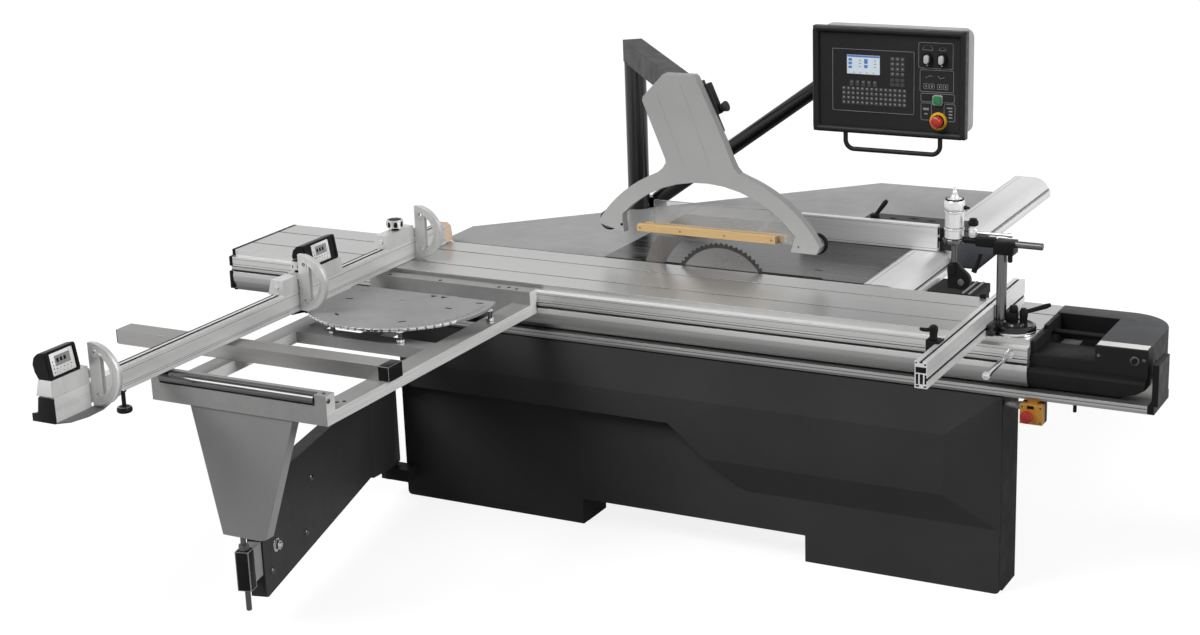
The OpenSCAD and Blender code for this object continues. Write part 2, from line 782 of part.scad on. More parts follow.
module rip_fence() {
    color([0.8, 0.81, 0.82]) difference() {
        box([650 - rip_l, 650], [rip_y, rip_y + 28], [rip_z, rip_z + rip_h]);
        box([649 - rip_l, 651], [rip_y + 18, rip_y + 29], [rip_z + 30, rip_z + 46]);
    }
}

module rip_carrier() {
    y = [rip_y + 28 + slide_gap, rip_y + 87];
    color([0.3, 0.31, 0.33]) union() {
        box([330, 724], y, [T + 24, T + 84]);
        box([330, 724], [y[1] - 1, rip_y + 165], [T + 66, T + 84]);
        box([690, 724], [y[1] - 1, rip_y + 165], [T + 24, T + 67]);
        box([330, guide_x0 - 5], y, [T + 2, T + 25]);
        box([guide_x0 + 10, 724], y, [T - 0.6, T + 25]);
        // cheek beside the guide rail
        along_y([y[0], y[1] - 20]) polygon([[guide_x1 + 2.5, T + 84], [760, T + 84], [868, T + 44],
            [880, T + 12], [800, T - 62], [guide_x1 + 2.5, T - 62]]);
        // pad that runs in the groove of the fence
        box([360, 640], [rip_y + 19, rip_y + 30], [rip_z + 31, rip_z + 45]);
        rod_z(382, y[1] - 30, [T + 83, T + 100], 10);
    }
}

module rip_lever() {
    color([0.06, 0.06, 0.06]) difference() {
        union() {
            rod_z(382, rip_y + 57, [T + 88, T + 108], 16);
            translate([382, rip_y + 57, T + 100]) rotate([0, 34, 20]) cylinder(h = 66, r = 7);
        }
        rod_z(382, rip_y + 57, [T + 80, T + 100 + pin_gap], 10 + pin_gap);
        box([340, 420], [rip_y, rip_y + 120], [T + 70, T + 84 + slide_gap]);
    }
}

// Clamp bar and hold-down on the carriage

module clamp_bar() {
    y = [-168 - clamp_l, -168];
    color([0.8, 0.81, 0.82]) difference() {
        union() {
            box([1109, 1149], y, [T + 0.4, T + 86]);
            box([1086, 1110], [-972, -918], [T + 34, T + 92]);
        }
        box([1124, 1134], [y[0] - 1, y[1] + 1], [T + 80, T + 87]);
        box([1141, 1150], [y[0] - 1, y[1] + 1], [T + 24, T + 34]);
        rod_z(1097, -945, [T + 50, T + 93], 6 + pin_gap);
    }
}

module clamp_knob() {
    color([0.06, 0.06, 0.06]) union() {
        rod_z(1097, -945, [T + 54, T + 94], 6);
        rod_z(1097, -945, [T + 92.4, T + 148], 12);
        translate([1097, -945, T + 138]) rotate([0, -84, 14]) cylinder(h = 48, r = 6);
    }
}

module hold_column() {
    color([0.07, 0.07, 0.07]) union() {
        rod_z(1215, column[1], [T + 0.4, T + 24], 60);
        rod_z(column[0], column[1], [T + 20, head_z + 26], column_r);
        rod_z(column[0], column[1], [T + 88, T + 112], column_r + 8);
        rod_z(1238, -470, [T + 22, T + 70], 11);
        translate([1238, -470, T + 64]) rotate([0, 78, 35]) cylinder(h = 80, r = 6);
    }
}

module hold_arm() {
    color([0.2, 0.2, 0.21]) difference() {
        union() {
            box([1146, 1212], [column[1] - 28, column[1] + 28], [head_z, head_z + 42]);
            rod_x([1030, 1302], column[1], head_z + 32, 11);
            rod_z(1005, column[1], [head_z + 22, head_z + 168], 30);
        }
        rod_z(column[0], column[1], [head_z - 1, head_z + 27], column_r + pin_gap);
        rod_z(1005, column[1], [head_z + 20, head_z + 150], 9 + pin_gap);
    }
}

module hold_foot() {
    color([0.08, 0.08, 0.08]) union() {
        rod_z(1005, column[1], [T + 190, head_z + 140], 9);
        rod_z(1005, column[1], [T + 180, T + 206], 20);
        box([988, 1040], [column[1] - 12, column[1] + 12], [T + 128, T + 184]);
    }
}

base_frame();
front_panel();
fixed_rail();
rail_ends();
cast_table();
left_plate();
rear_plate();
guide_rail();
guard_post();
guard_arm();
panel_boom();
estop_box();
estop_box_button();
tilt_trunnion();
saw_unit();
riving_knife();
main_blade();
guard_hood();
clear_guard();
wood_strips();
guard_roller(guard_rollers[0]);  // guard_roller_left
guard_roller(guard_rollers[1]);  // guard_roller_right
guard_knob();
panel_box();
panel_bezel();
panel_keypad();
panel_estop();
start_button();
mode_switch(556);  // mode_switch_left
mode_switch(613);  // mode_switch_right
carriage();
carriage_cap();
handle_unit();
push_button();
push_bar();
crosscut_frame();
support_leg();
frame_roller();
telescopic_bar();
crosscut_fence();
mitre_plate();
fence_extension();
stop_block(stop_ys[0], 170, 0, 0, 0);  // stop_block_front
stop_block(stop_ys[1], 92, 261, -36, 24);  // stop_block_middle
stop_block(stop_ys[2], 186, 0, 91, 31);  // stop_block_rear
stop_flip(stop_ys[0]);  // stop_flip_front
stop_flip(stop_ys[1]);  // stop_flip_middle
stop_flip(stop_ys[2]);  // stop_flip_rear
stop_display([stop_ys[0] - 170, stop_ys[0] - 40]);  // stop_display_front
stop_display([stop_ys[1] + 61, stop_ys[1] + 243]);  // stop_display_middle
swing_arm();
arm_tube();
rip_fence();
rip_carrier();
rip_lever();
clamp_bar();
clamp_knob();
hold_column();
hold_arm();
hold_foot();
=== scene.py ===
"""Looks of a sliding table saw: finishes for the CAD solids, and the detail pieces that sit on them.

Frame: metres, +Z up, +X along the carriage, origin on the floor. The operator stands at -Y.
"""
import math

import bmesh
import bpy
from mathutils import Matrix, Vector

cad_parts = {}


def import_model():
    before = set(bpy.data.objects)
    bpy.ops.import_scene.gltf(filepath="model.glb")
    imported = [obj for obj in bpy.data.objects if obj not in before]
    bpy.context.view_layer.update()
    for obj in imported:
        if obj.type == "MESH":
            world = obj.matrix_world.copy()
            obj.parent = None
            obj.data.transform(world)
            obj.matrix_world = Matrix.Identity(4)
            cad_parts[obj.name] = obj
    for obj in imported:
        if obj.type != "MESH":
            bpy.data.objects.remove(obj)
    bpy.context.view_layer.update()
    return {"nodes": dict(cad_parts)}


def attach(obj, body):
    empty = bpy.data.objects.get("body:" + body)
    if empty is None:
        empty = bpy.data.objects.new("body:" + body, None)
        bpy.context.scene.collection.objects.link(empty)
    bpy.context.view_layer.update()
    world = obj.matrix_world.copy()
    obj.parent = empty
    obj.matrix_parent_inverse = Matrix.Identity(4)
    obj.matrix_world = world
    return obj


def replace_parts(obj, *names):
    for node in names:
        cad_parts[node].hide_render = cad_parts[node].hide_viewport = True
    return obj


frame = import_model()
NODES = frame["nodes"]
TT = 900  # height of the table top, in millimetres as in all pieces
FT = 78  # top of the crosscut fence, above the table top


# Materials

class Graph:
    """A node tree, with helpers that add a node and wire it; an input is a value or another node's socket."""

    def __init__(self, tree):
        self.tree = tree

    def feed(self, socket, value):
        if isinstance(value, bpy.types.NodeSocket):
            self.tree.links.new(value, socket)
        else:
            socket.default_value = (*value, 1.0) if socket.type == "RGBA" else value

    def node(self, kind, inputs=None, **settings):
        n = self.tree.nodes.new("ShaderNode" + kind)
        for key, value in settings.items():
            setattr(n, key, value)
        for key, value in (inputs or {}).items():
            self.feed(n.inputs[key], value)
        return n

    def remap(self, value, low, high, start=0.3, end=0.7):
        ends = {"From Min": start, "From Max": end, "To Min": low, "To Max": high}
        return self.node("MapRange", {"Value": value, **ends}).outputs[0]

    def mix(self, factor, a, b):
        """A colour between a and b; each is a colour or a socket."""
        return self.node("Mix", {"Factor": factor, 6: a, 7: b}, data_type="RGBA").outputs[2]

    def math(self, kind, a, b):
        return self.node("Math", {0: a, 1: b}, operation=kind).outputs[0]

    def vector(self, kind, a, b=None):
        """Vector arithmetic; a length or a dot product comes back as a number."""
        inputs = {0: a} if b is None else {0: a, "Scale" if kind == "SCALE" else 1: b}
        made = self.node("VectorMath", inputs, operation=kind)
        return made.outputs["Value" if kind in ("LENGTH", "DOT_PRODUCT") else "Vector"]


class Shader(Graph):
    """A Principled material; in the names of its sockets an underscore stands for a blank."""

    def __init__(self, name, colour, rough, metallic=0.0, **sockets):
        self.mat = bpy.data.materials.new(name)
        self.mat.use_nodes = True
        super().__init__(self.mat.node_tree)
        self.tree.nodes.clear()
        self.bsdf = self.node("BsdfPrincipled")
        self.node("OutputMaterial", {"Surface": self.bsdf.outputs[0]})
        self.use(Base_Color=colour, Roughness=rough, Metallic=metallic, **sockets)
        self.coords = self.node("TexCoord").outputs["Object"]

    def use(self, **sockets):
        for key, value in sockets.items():
            self.feed(self.bsdf.inputs[key.replace("_", " ")], value)

    def noise(self, scale, detail=3.0, stretch=(1, 1, 1)):
        """Noise over the object's own coordinates, in cycles per metre, stretched along an axis."""
        spread = self.node("Mapping", {"Vector": self.coords, "Scale": stretch}).outputs[0]
        return self.node("TexNoise", {"Vector": spread, "Scale": scale, "Detail": detail,
                                      "Roughness": 0.55}).outputs["Fac"]

    def streaks(self, at, scale, detail):
        """Noise along one number."""
        inputs = {"W": at, "Scale": scale, "Detail": detail}
        return self.node("TexNoise", inputs, noise_dimensions="1D").outputs["Fac"]

    def along(self, axis):
        return self.node("SeparateXYZ", {0: self.coords}).outputs[axis]

    def shades(self, value, colour, low, high, start=0.3, end=0.7):
        """The colour times low to high, as a value goes from start to end."""
        return self.mix(self.remap(value, 0.0, 1.0, start, end), tint(colour, low), tint(colour, high))

    def painted_face_shade(self, shade, faces):
        """Scales a colour on the faces across X, Y and Z by which way each face looks: painted light and
        shade.
        """
        if not faces:
            return shade
        normal = self.node("NewGeometry").outputs["True Normal"]
        share = self.vector("DOT_PRODUCT", self.vector("MULTIPLY", normal, normal), faces)
        return self.vector("SCALE", shade, share)

    def bump(self, height, strength, distance, edge):
        """Surface relief on top of softly rounded edges."""
        soft = self.node("Bevel", {"Radius": edge}, samples=4).outputs[0]
        inputs = {"Strength": strength, "Distance": distance, "Height": height, "Normal": soft}
        self.use(Normal=self.node("Bump", inputs).outputs[0])
        return soft

    def worn_edges(self, soft, base, worn, amount):
        """Lighter colour where the rounded normal departs from the flat one, which is along edges."""
        bend = self.vector("DOT_PRODUCT", soft, self.node("NewGeometry").outputs["True Normal"])
        patchy = self.remap(self.noise(60, 4), 0.2, 1.0)
        edge = self.math("MULTIPLY", self.remap(bend, amount, 0.0, 0.80, 0.97), patchy)
        self.use(Base_Color=self.mix(edge, base, worn))


def grey(level):
    return (level, level, level)


def tint(colour, k):
    return tuple(min(1.0, c * k) for c in colour)


def paint(name, colour, rough=0.42, vary=0.10, relief=0.05, worn=0.35, edge=0.0015, gloss=0.4, faces=None):
    """Powder coat: faint orange peel, slow shade changes and lighter worn edges."""
    s = Shader(name, colour, rough, Specular_IOR_Level=gloss)
    slow = s.shades(s.noise(2.5, 4), colour, 1 - vary, 1 + vary)
    s.use(Roughness=s.remap(s.noise(14, 5), rough - 0.05, rough + 0.07))
    soft = s.bump(s.noise(900, 2), relief, 0.0006, edge)
    # faces, if given, scales the colour by which way each face looks: painted light and shade.
    s.worn_edges(soft, s.painted_face_shade(slow, faces), tint(colour, 1.5), worn)
    return s.mat


def plastic(name, colour, rough=0.5, grain=1400, relief=0.18, edge=0.001, coat=0.0, gloss=0.25):
    """Moulded plastic with a fine eroded texture."""
    s = Shader(name, colour, rough, Specular_IOR_Level=gloss, Coat_Weight=coat, Coat_Roughness=0.12)
    s.use(Base_Color=s.shades(s.noise(5, 5), colour, 0.86, 1.14),
          Roughness=s.remap(s.noise(30, 4), rough - 0.06, rough + 0.08))
    s.bump(s.noise(grain, 2), relief, 0.0004, edge)
    return s.mat


def brushed(name, colour, rough=0.32, along="x", vary=0.16, lines=420, relief=0.10, metallic=1.0, painted_low_shade=None,
            faces=None):
    """Brushed or extruded metal: fine lines along one axis, with slower stains across them.

    Its lower shade, given as (low, high, share), darkens the metal from one height down to another: painted
    shade, darker towards the bottom.
    """
    s = Shader(name, colour, rough, metallic)
    keep = {"x": (0.012, 1, 1), "y": (1, 0.012, 1), "z": (1, 1, 0.012)}[along]
    fine = s.noise(lines, 3, keep)
    stains = s.math("MULTIPLY", s.noise(26, 3, keep), 0.35)
    slower = s.math("ADD", stains, s.math("MULTIPLY", s.noise(3.0, 4), 0.2))
    tone = s.math("ADD", s.math("MULTIPLY", fine, 0.45), slower)
    shade = s.shades(tone, colour, 1 - vary, 1 + vary, 0.35, 0.65)
    # Painted shade: the colour darkens from one height down to another.
    if painted_low_shade:
        low, high, share = painted_low_shade
        shade = s.mix(s.remap(s.along("Z"), 1.0, 0.0, low, high), shade, tint(colour, share))
    # faces, if given, scales the colour by which way each face looks: painted light and shade.
    s.use(Base_Color=s.painted_face_shade(shade, faces), Roughness=s.remap(tone, rough - 0.06, rough + 0.08, 0.35, 0.65))
    s.bump(fine, relief, 0.0003, 0.0008)
    return s.mat


def ground_iron(name, colour):
    """Ground cast iron: long grinding lines along X over broader bright and dark streaks."""
    s = Shader(name, colour, 0.26, 1.0)
    lines = s.noise(520, 4, (0.02, 1, 1))
    bands = s.noise(30, 2, (0.03, 1, 1))
    tone = s.math("ADD", s.math("MULTIPLY", lines, 0.3), s.math("MULTIPLY", bands, 0.7))
    s.use(Base_Color=s.shades(tone, colour, 0.42, 1.8, 0.38, 0.64),
          Roughness=s.remap(tone, 0.20, 0.34, 0.38, 0.64))
    s.bump(lines, 0.14, 0.0003, 0.001)
    return s.mat


def turned(name, colour, rough, centre, vary=0.2):
    """Metal with fine rings about an axis along Y, which shines in a fan as a ground disc does."""
    s = Shader(name, colour, rough, 1.0, Anisotropic=0.75)
    flat = s.vector("MULTIPLY", s.vector("SUBTRACT", s.coords, centre), (1, 0, 1))
    rings = s.streaks(s.vector("LENGTH", flat), 420, 4)
    s.use(Base_Color=s.shades(rings, colour, 1 - vary, 1 + vary),
          Roughness=s.remap(s.noise(20, 4), rough - 0.04, rough + 0.08),
          Tangent=s.node("Tangent", direction_type="RADIAL", axis="Y").outputs[0])
    s.bump(rings, 0.08, 0.0002, 0.0005)
    return s.mat


def wood(name, colour):
    """Planed softwood: stretched growth rings along X."""
    s = Shader(name, colour, 0.55)
    spread = s.node("Mapping", {"Vector": s.coords, "Scale": (0.08, 1, 1)}).outputs[0]
    wave = s.node("TexWave", {"Vector": spread, "Scale": 60, "Distortion": 6, "Detail": 3}, wave_type="BANDS",
                  bands_direction="Z")
    s.use(Base_Color=s.mix(wave.outputs["Fac"], tint(colour, 0.86), tint(colour, 1.1)))
    s.bump(s.noise(500, 3, (0.05, 1, 1)), 0.2, 0.0005, 0.0015)
    return s.mat


def scale_strip(name, colour):
    """Pale strip with black ticks across it, one each 10 mm along Y."""
    s = Shader(name, colour, 0.4)
    tick = s.math("LESS_THAN", s.math("FRACT", s.math("MULTIPLY", s.along("Y"), 100.0), 0.0), 0.22)
    s.use(Base_Color=s.mix(tick, colour, (0.03, 0.03, 0.03)), Roughness=s.remap(s.noise(40, 3), 0.32, 0.5))
    return s.mat


def clear_sheet(name):
    """Polycarbonate guard: nearly clear, with slanting bands where the sheet is paler and less clear: painted
    reflection streaks.
    """
    s = Shader(name, (0.62, 0.62, 0.61), 0.12, Specular_IOR_Level=0.5)
    # Slanting bands of less clear sheet: painted reflection streaks.
    marks = s.streaks(s.vector("DOT_PRODUCT", s.coords, (1.0, 0.0, -0.75)), 9, 0)
    s.use(Alpha=s.remap(marks, 0.26, 0.50, 0.48, 0.72), Roughness=s.remap(s.noise(60, 3), 0.08, 0.2))
    return s.mat


def glow(name, colour, strength):
    """A lit display surface with a fine pixel mottle."""
    s = Shader(name, colour, 0.2, Emission_Strength=strength)
    shade = s.shades(s.noise(400, 1), colour, 0.92, 1.06)
    s.use(Base_Color=shade, Emission_Color=shade)
    return s.mat


# The front panel's faces that look along X, its ends, are darker: painted shade.
PANEL = paint("front_panel_paint", (0.054, 0.054, 0.055), 0.5, relief=0.04, worn=0.3, edge=0.002, gloss=0.05,
              faces=(0.22, 1.0, 1.0))
BASE = paint("base_paint", (0.026, 0.026, 0.027), 0.5, worn=0.2, gloss=0.04)
# The hood's faces that look along X and Z are darker than its front: painted shade.
HOOD = paint("hood_paint", (0.55, 0.55, 0.545), 0.48, vary=0.06, worn=0.2, edge=0.002, gloss=0.3,
             faces=(0.5, 1.0, 0.55))
PLATE = paint("plate_paint", grey(0.285), 0.34, vary=0.05, worn=0.3)
MITRE = paint("mitre_paint", grey(0.27), 0.4, vary=0.07, worn=0.5)
LEG = paint("leg_paint", grey(0.33), 0.45, vary=0.05)
ARM = paint("dark_paint", (0.045, 0.045, 0.047), 0.42, edge=0.004, gloss=0.05)
BLACK = paint("black_gloss_paint", grey(0.010), 0.2, relief=0.03, worn=0.1, gloss=0.45)
SWING = paint("swing_arm_paint", (0.044, 0.044, 0.045), 0.4, worn=0.4, gloss=0.06)
BOXPAINT = paint("panel_box_paint", (0.34, 0.35, 0.36), 0.35, vary=0.05)
UNIT = paint("saw_unit_paint", (0.07, 0.075, 0.085), 0.5)
STEELGREY = paint("tube_paint", grey(0.27), 0.4)
PLASTIC = plastic("black_plastic", (0.009, 0.009, 0.010), 0.42, gloss=0.12)
HANDLE = plastic("handle_plastic", (0.014, 0.014, 0.015), 0.5, grain=700, relief=0.45, edge=0.004, gloss=0.14)
BEZEL = plastic("bezel_plastic", (0.022, 0.022, 0.023), 0.42, edge=0.004, gloss=0.2)
KEYPAD = plastic("keypad_film", (0.030, 0.030, 0.031), 0.4, relief=0.1, gloss=0.15)
RED = plastic("red_plastic", (0.62, 0.035, 0.025), 0.3, coat=0.3)
ORANGE = plastic("orange_plastic", (1.0, 0.50, 0.09), 0.4, edge=0.003, gloss=0.2)
YELLOW = plastic("yellow_plastic", (0.85, 0.50, 0.02), 0.4)
GREEN = plastic("green_plastic", (0.02, 0.26, 0.09), 0.3, coat=0.3)
WHITE = plastic("white_plastic", (0.76, 0.76, 0.74), 0.4)
RUBBER = plastic("rubber", grey(0.010), 0.7, grain=500, relief=0.4, gloss=0.1)
# The crosscut frame's faces that look along X are lighter, and those along Y and Z darker: painted light and
# shade.
FRAME = brushed("frame_metal", (0.48, 0.48, 0.475), 0.44, "y", vary=0.14, lines=260, metallic=0.35,
                faces=(1.75, 0.62, 0.66))
ALU_X = brushed("aluminium_x", (0.42, 0.42, 0.415), 0.34, "x", vary=0.12, metallic=0.85)
ALU_Y = brushed("aluminium_y", (0.78, 0.78, 0.775), 0.34, "y", vary=0.12, metallic=0.45)
# The carriage is darker towards the bottom of its front roll: painted shade.
CARRIAGE = brushed("carriage_aluminium", (0.56, 0.56, 0.555), 0.34, "x", vary=0.10, metallic=0.85,
                   painted_low_shade=(TT * 0.001 - 0.155, TT * 0.001 - 0.074, 0.3))
ALU_LIGHT = brushed("aluminium_light", grey(0.80), 0.4, "x", vary=0.08, metallic=0.3)
ALU_DARK = brushed("aluminium_dark", (0.34, 0.335, 0.33), 0.40, "x", vary=0.14, metallic=0.8)
STOP_ALU = brushed("stop_aluminium", (0.70, 0.70, 0.695), 0.38, "z", vary=0.1, metallic=0.5)
RAIL = brushed("rail_aluminium", grey(0.80), 0.34, "y", vary=0.07, metallic=0.5)
CHROME = brushed("chrome", (0.62, 0.62, 0.63), 0.10, "x", vary=0.05, relief=0.02)
ROLLER = brushed("roller_chrome", grey(0.12), 0.14, "x", vary=0.3, lines=90, relief=0.04)
BLADE = turned("blade_steel", (0.22, 0.215, 0.21), 0.28, (0, 0, 0.799))
KNIFE = brushed("knife_steel", (0.16, 0.15, 0.145), 0.4, "z", vary=0.12)
STEEL = brushed("dark_steel", grey(0.12), 0.35, "z", vary=0.14)
POST = brushed("post_steel", grey(0.13), 0.2, "z", vary=0.12)
IRON = ground_iron("ground_iron", (0.060, 0.060, 0.062))
WOOD = wood("softwood", (0.84, 0.56, 0.25))
WOOD_PALE = wood("pale_wood", (0.80, 0.60, 0.46))
HANDLE_TOP = plastic("handle_top_plastic", (0.075, 0.076, 0.080), 0.6, grain=420, relief=0.5, gloss=0.2)
SCALE = scale_strip("fence_scale", (0.62, 0.62, 0.60))
STOP_LIGHT = brushed("stop_rim_aluminium", (0.70, 0.70, 0.695), 0.34, "y", vary=0.08, metallic=0.6)
SATIN = brushed("satin_aluminium", grey(0.88), 0.22, "z", vary=0.06, metallic=0.4)
PLATE_DARK = paint("rest_plate_paint", grey(0.13), 0.4)
HOOD_LIGHT = paint("hood_seam_paint", (0.52, 0.52, 0.51), 0.5, vary=0.04)
BRASS = brushed("brass", (0.40, 0.29, 0.15), 0.3, "x", vary=0.08)
PRINT = plastic("keypad_print", (0.42, 0.42, 0.43), 0.5)
KEY = plastic("keypad_keys", (0.085, 0.085, 0.088), 0.4)
LCD = plastic("lcd_glass", (0.30, 0.31, 0.30), 0.15, grain=900, relief=0.02)
CARBIDE = brushed("carbide", (0.045, 0.043, 0.041), 0.4, "z", vary=0.2, metallic=0.6)
SHEET_EDGE = plastic("clear_sheet_edge", (0.40, 0.42, 0.42), 0.25)
SCREEN = glow("screen_light", (0.62, 0.70, 0.78), 0.35)
SCREEN_BLUE = glow("screen_blue", (0.08, 0.20, 0.50), 0.3)
CLEAR = clear_sheet("clear_guard")

# The CAD nodes that each finish is on
FINISH = {
    PANEL: "front_panel", BASE: "base_frame", HOOD: "guard_hood", PLATE: "left_plate rear_plate",
    MITRE: "mitre_plate", LEG: "support_leg", FRAME: "crosscut_frame", ARM: "guard_arm rip_carrier",
    BLACK: "guard_post panel_boom hold_column", SWING: "swing_arm", BOXPAINT: "panel_box",
    UNIT: "saw_unit tilt_trunnion", STEELGREY: "arm_tube",
    PLASTIC: "rail_ends carriage_cap guard_knob push_button stop_display_front stop_display_middle "
             "rip_lever clamp_knob hold_foot hold_arm mode_switch_left mode_switch_right",
    HANDLE: "handle_unit", BEZEL: "panel_bezel", KEYPAD: "panel_keypad", RED: "panel_estop estop_box_button",
    ORANGE: "estop_box", GREEN: "start_button", RUBBER: "guard_roller_left guard_roller_right",
    CARRIAGE: "carriage", ALU_X: "fixed_rail", ALU_LIGHT: "rip_fence",
    ALU_Y: "crosscut_fence fence_extension clamp_bar", ALU_DARK: "telescopic_bar",
    STOP_ALU: "stop_block_front stop_block_middle stop_block_rear stop_flip_front stop_flip_middle "
              "stop_flip_rear", RAIL: "guide_rail", CHROME: "push_bar", ROLLER: "frame_roller",
    BLADE: "main_blade", KNIFE: "riving_knife", IRON: "cast_table", WOOD: "wood_strips", CLEAR: "clear_guard",
}
for material, names in FINISH.items():
    for name in names.split():
        solid = NODES[name]
        solid.data.materials.clear()
        solid.data.materials.append(material)


# Pieces

FLOOR = Matrix()
TOP = Matrix.Translation((0, 0, TT))
SPREAD = {"x": lambda a, b, c: (c, a, b), "y": lambda a, b, c: (a, c, b), "z": lambda a, b, c: (a, b, c)}
TURN = {"z": Matrix(), "x": Matrix.Rotation(math.pi / 2, 4, "Y"), "y": Matrix.Rotation(-math.pi / 2, 4, "X")}

# Profiles as shares of the radius and the height
SCREW = ((1, 0), (1, 0.7), (0.82, 1), (0.5, 1), (0.42, 0.45), (0.05, 0.45))
HEXAGON = ((0.9, 0), (1, 0.12), (1, 0.88), (0.9, 1))
KNOB = ((0.30, 0), (0.86, 0.02), (0.98, 0.16), (1, 0.4), (0.97, 0.72), (0.84, 0.93), (0.55, 1), (0.04, 1))


class Piece:
    """A mesh in millimetres, above the table top or at another place; done() makes it ride on a CAD body."""

    made = []

    def __init__(self, name, body, material, place=TOP):
        self.name, self.body, self.material = name, body, material
        self.place = place
        self.bm = bmesh.new()
        self.made.append(self)

    def _add(self, form, bevel=0.0, segments=2):
        bmesh.ops.recalc_face_normals(form, faces=form.faces)
        if bevel:
            sharp = [e for e in form.edges if e.is_manifold and e.calc_face_angle() > 0.4]
            bmesh.ops.bevel(form, geom=sharp, offset=bevel, segments=segments, profile=0.5, affect="EDGES",
                            clamp_overlap=True)
        form.transform(Matrix.Scale(0.001, 4) @ self.place)
        scratch = bpy.data.meshes.new("scratch")
        form.to_mesh(scratch)
        form.free()
        self.bm.from_mesh(scratch)
        bpy.data.meshes.remove(scratch)
        return self

    def _skin(self, rings, bevel=0.0, closed=False, move=None):
        """Joins equal rings of points into a solid: capped, or closed with the last ring on the first."""
        form = bmesh.new()
        rings = [[form.verts.new(p) for p in ring] for ring in rings]
        for low, high in zip(rings, rings[1:] + rings[:1] if closed else rings[1:]):
            for i in range(len(low)):
                j = (i + 1) % len(low)
                form.faces.new((low[i], low[j], high[j], high[i]))
        if not closed:
            form.faces.new(reversed(rings[0]))
            form.faces.new(rings[-1])
        if move:
            form.transform(move)
        return self._add(form, bevel)

    def block(self, x, y, z, bevel=1.0, segments=2):
        """A box between pairs of coordinates, with rounded edges."""
        form = bmesh.new()
        bmesh.ops.create_cube(form, size=1.0)
        size = [b - a for a, b in (x, y, z)]
        middle = [(a + b) / 2 for a, b in (x, y, z)]
        form.transform(Matrix.Translation(middle) @ Matrix.Diagonal((*size, 1)))
        return self._add(form, bevel, segments)

    def prism(self, axis, outline, span, bevel=0.0):
        """An outline in the two other axes, run along one axis."""
        return self._skin([[SPREAD[axis](a, b, c) for a, b in outline] for c in span], bevel)

    def band(self, axis, outer, inner, span):
        """A closed band between two outlines with the same number of points."""
        rings = ((outer, span[0]), (outer, span[1]), (inner, span[1]), (inner, span[0]))
        return self.torus([[SPREAD[axis](a, b, c) for a, b in line] for line, c in rings])

    def frame(self, x, z, width, radii, span):
        """A band along Y, round a rectangle with round corners; radii are its outer and inner ones."""
        inner = [(a + width, b - width) for a, b in (x, z)]
        return self.band("y", rounded(x, z, radii[0]), rounded(*inner, radii[1]), span)

    def torus(self, loops):
        """A closed body from rings that run around it; the last ring joins the first."""
        return self._skin(loops, closed=True)

    def facets(self, points, faces, back, crease=1.5):
        """A faceted solid; every edge that isn't on the back face gets a small round."""
        form = bmesh.new()
        verts = [form.verts.new(p) for p in points]
        made = [form.faces.new([verts[i] for i in face]) for face in faces]
        hidden = set(made[back].edges)
        bmesh.ops.recalc_face_normals(form, faces=form.faces)
        bmesh.ops.bevel(form, geom=[e for e in form.edges if e not in hidden], offset=crease, segments=2,
                        profile=0.5, affect="EDGES", clamp_overlap=True)
        return self._add(form)

    def lathe(self, at, profile, n=40, axis="z", lobes=0, depth=0.0):
        """A profile of (radius, height) spun around an axis through a point, with optional grip lobes."""
        angles = [2 * math.pi * i / n for i in range(n)]
        reach = [1 - depth * (0.5 - 0.5 * math.cos(lobes * a)) for a in angles]
        rings = [[(r * k * math.cos(a), r * k * math.sin(a), h) for k, a in zip(reach, angles)]
                 for r, h in profile]
        return self._skin(rings, move=Matrix.Translation(at) @ TURN[axis])

    def tube(self, path, radius, n=16):
        """A round bar along a path; radius is one number, or one for each point."""
        path = [Vector(p) for p in path]
        radii = radius if isinstance(radius, (list, tuple)) else [radius] * len(path)
        rings, normal = [], None
        for i, (p, r) in enumerate(zip(path, radii)):
            ahead = (path[min(i + 1, len(path) - 1)] - path[max(i - 1, 0)]).normalized()
            normal = ahead.orthogonal() if normal is None else normal - ahead * normal.dot(ahead)
            normal.normalize()
            side = ahead.cross(normal)
            rings.append([p + r * (math.cos(a) * normal + math.sin(a) * side)
                          for a in (2 * math.pi * k / n for k in range(n))])
        return self._skin(rings)

    def screw(self, at, r, axis="y", out=-1.0, head=2.0):
        """A socket head: a chamfered disc with a ring step; out says which way it looks along the axis."""
        return self.lathe(at, [(r * a, head * out * b) for a, b in SCREW], 20, axis)

    def hexagon(self, at, r, height, axis="z"):
        """A chamfered hexagon nut or bolt head."""
        return self.lathe(at, [(r * a, height * b) for a, b in HEXAGON], 6, axis)

    def knob(self, at, r, height, lobes=7):
        """A moulded grip knob, with lobes round its rim."""
        return self.lathe(at, [(r * a, height * b) for a, b in KNOB], 84, "z", lobes, 0.10)

    def done(self, smooth=35):
        """Finishes the pieces that were begun earlier, and then this one."""
        while self.made[0] is not self:
            self.made[0].done()
        self.made.pop(0)
        bmesh.ops.recalc_face_normals(self.bm, faces=self.bm.faces)
        mesh = bpy.data.meshes.new(self.name)
        self.bm.to_mesh(mesh)
        self.bm.free()
        mesh.materials.append(self.material)
        mesh.shade_smooth()
        mesh.set_sharp_from_angle(angle=math.radians(smooth))
        obj = bpy.data.objects.new(self.name, mesh)
        bpy.context.scene.collection.objects.link(obj)
        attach(obj, self.body)
        return obj


def on(body, place=TOP):
    """A maker of pieces for one CAD body."""
    return lambda name, material: Piece(name, body, material, place)


def arc(centre, r, a0, a1, steps=24):
    angles = [math.radians(a0 + (a1 - a0) * k / steps) for k in range(steps + 1)]
    return [(centre[0] + r * math.cos(a), centre[1] + r * math.sin(a)) for a in angles]


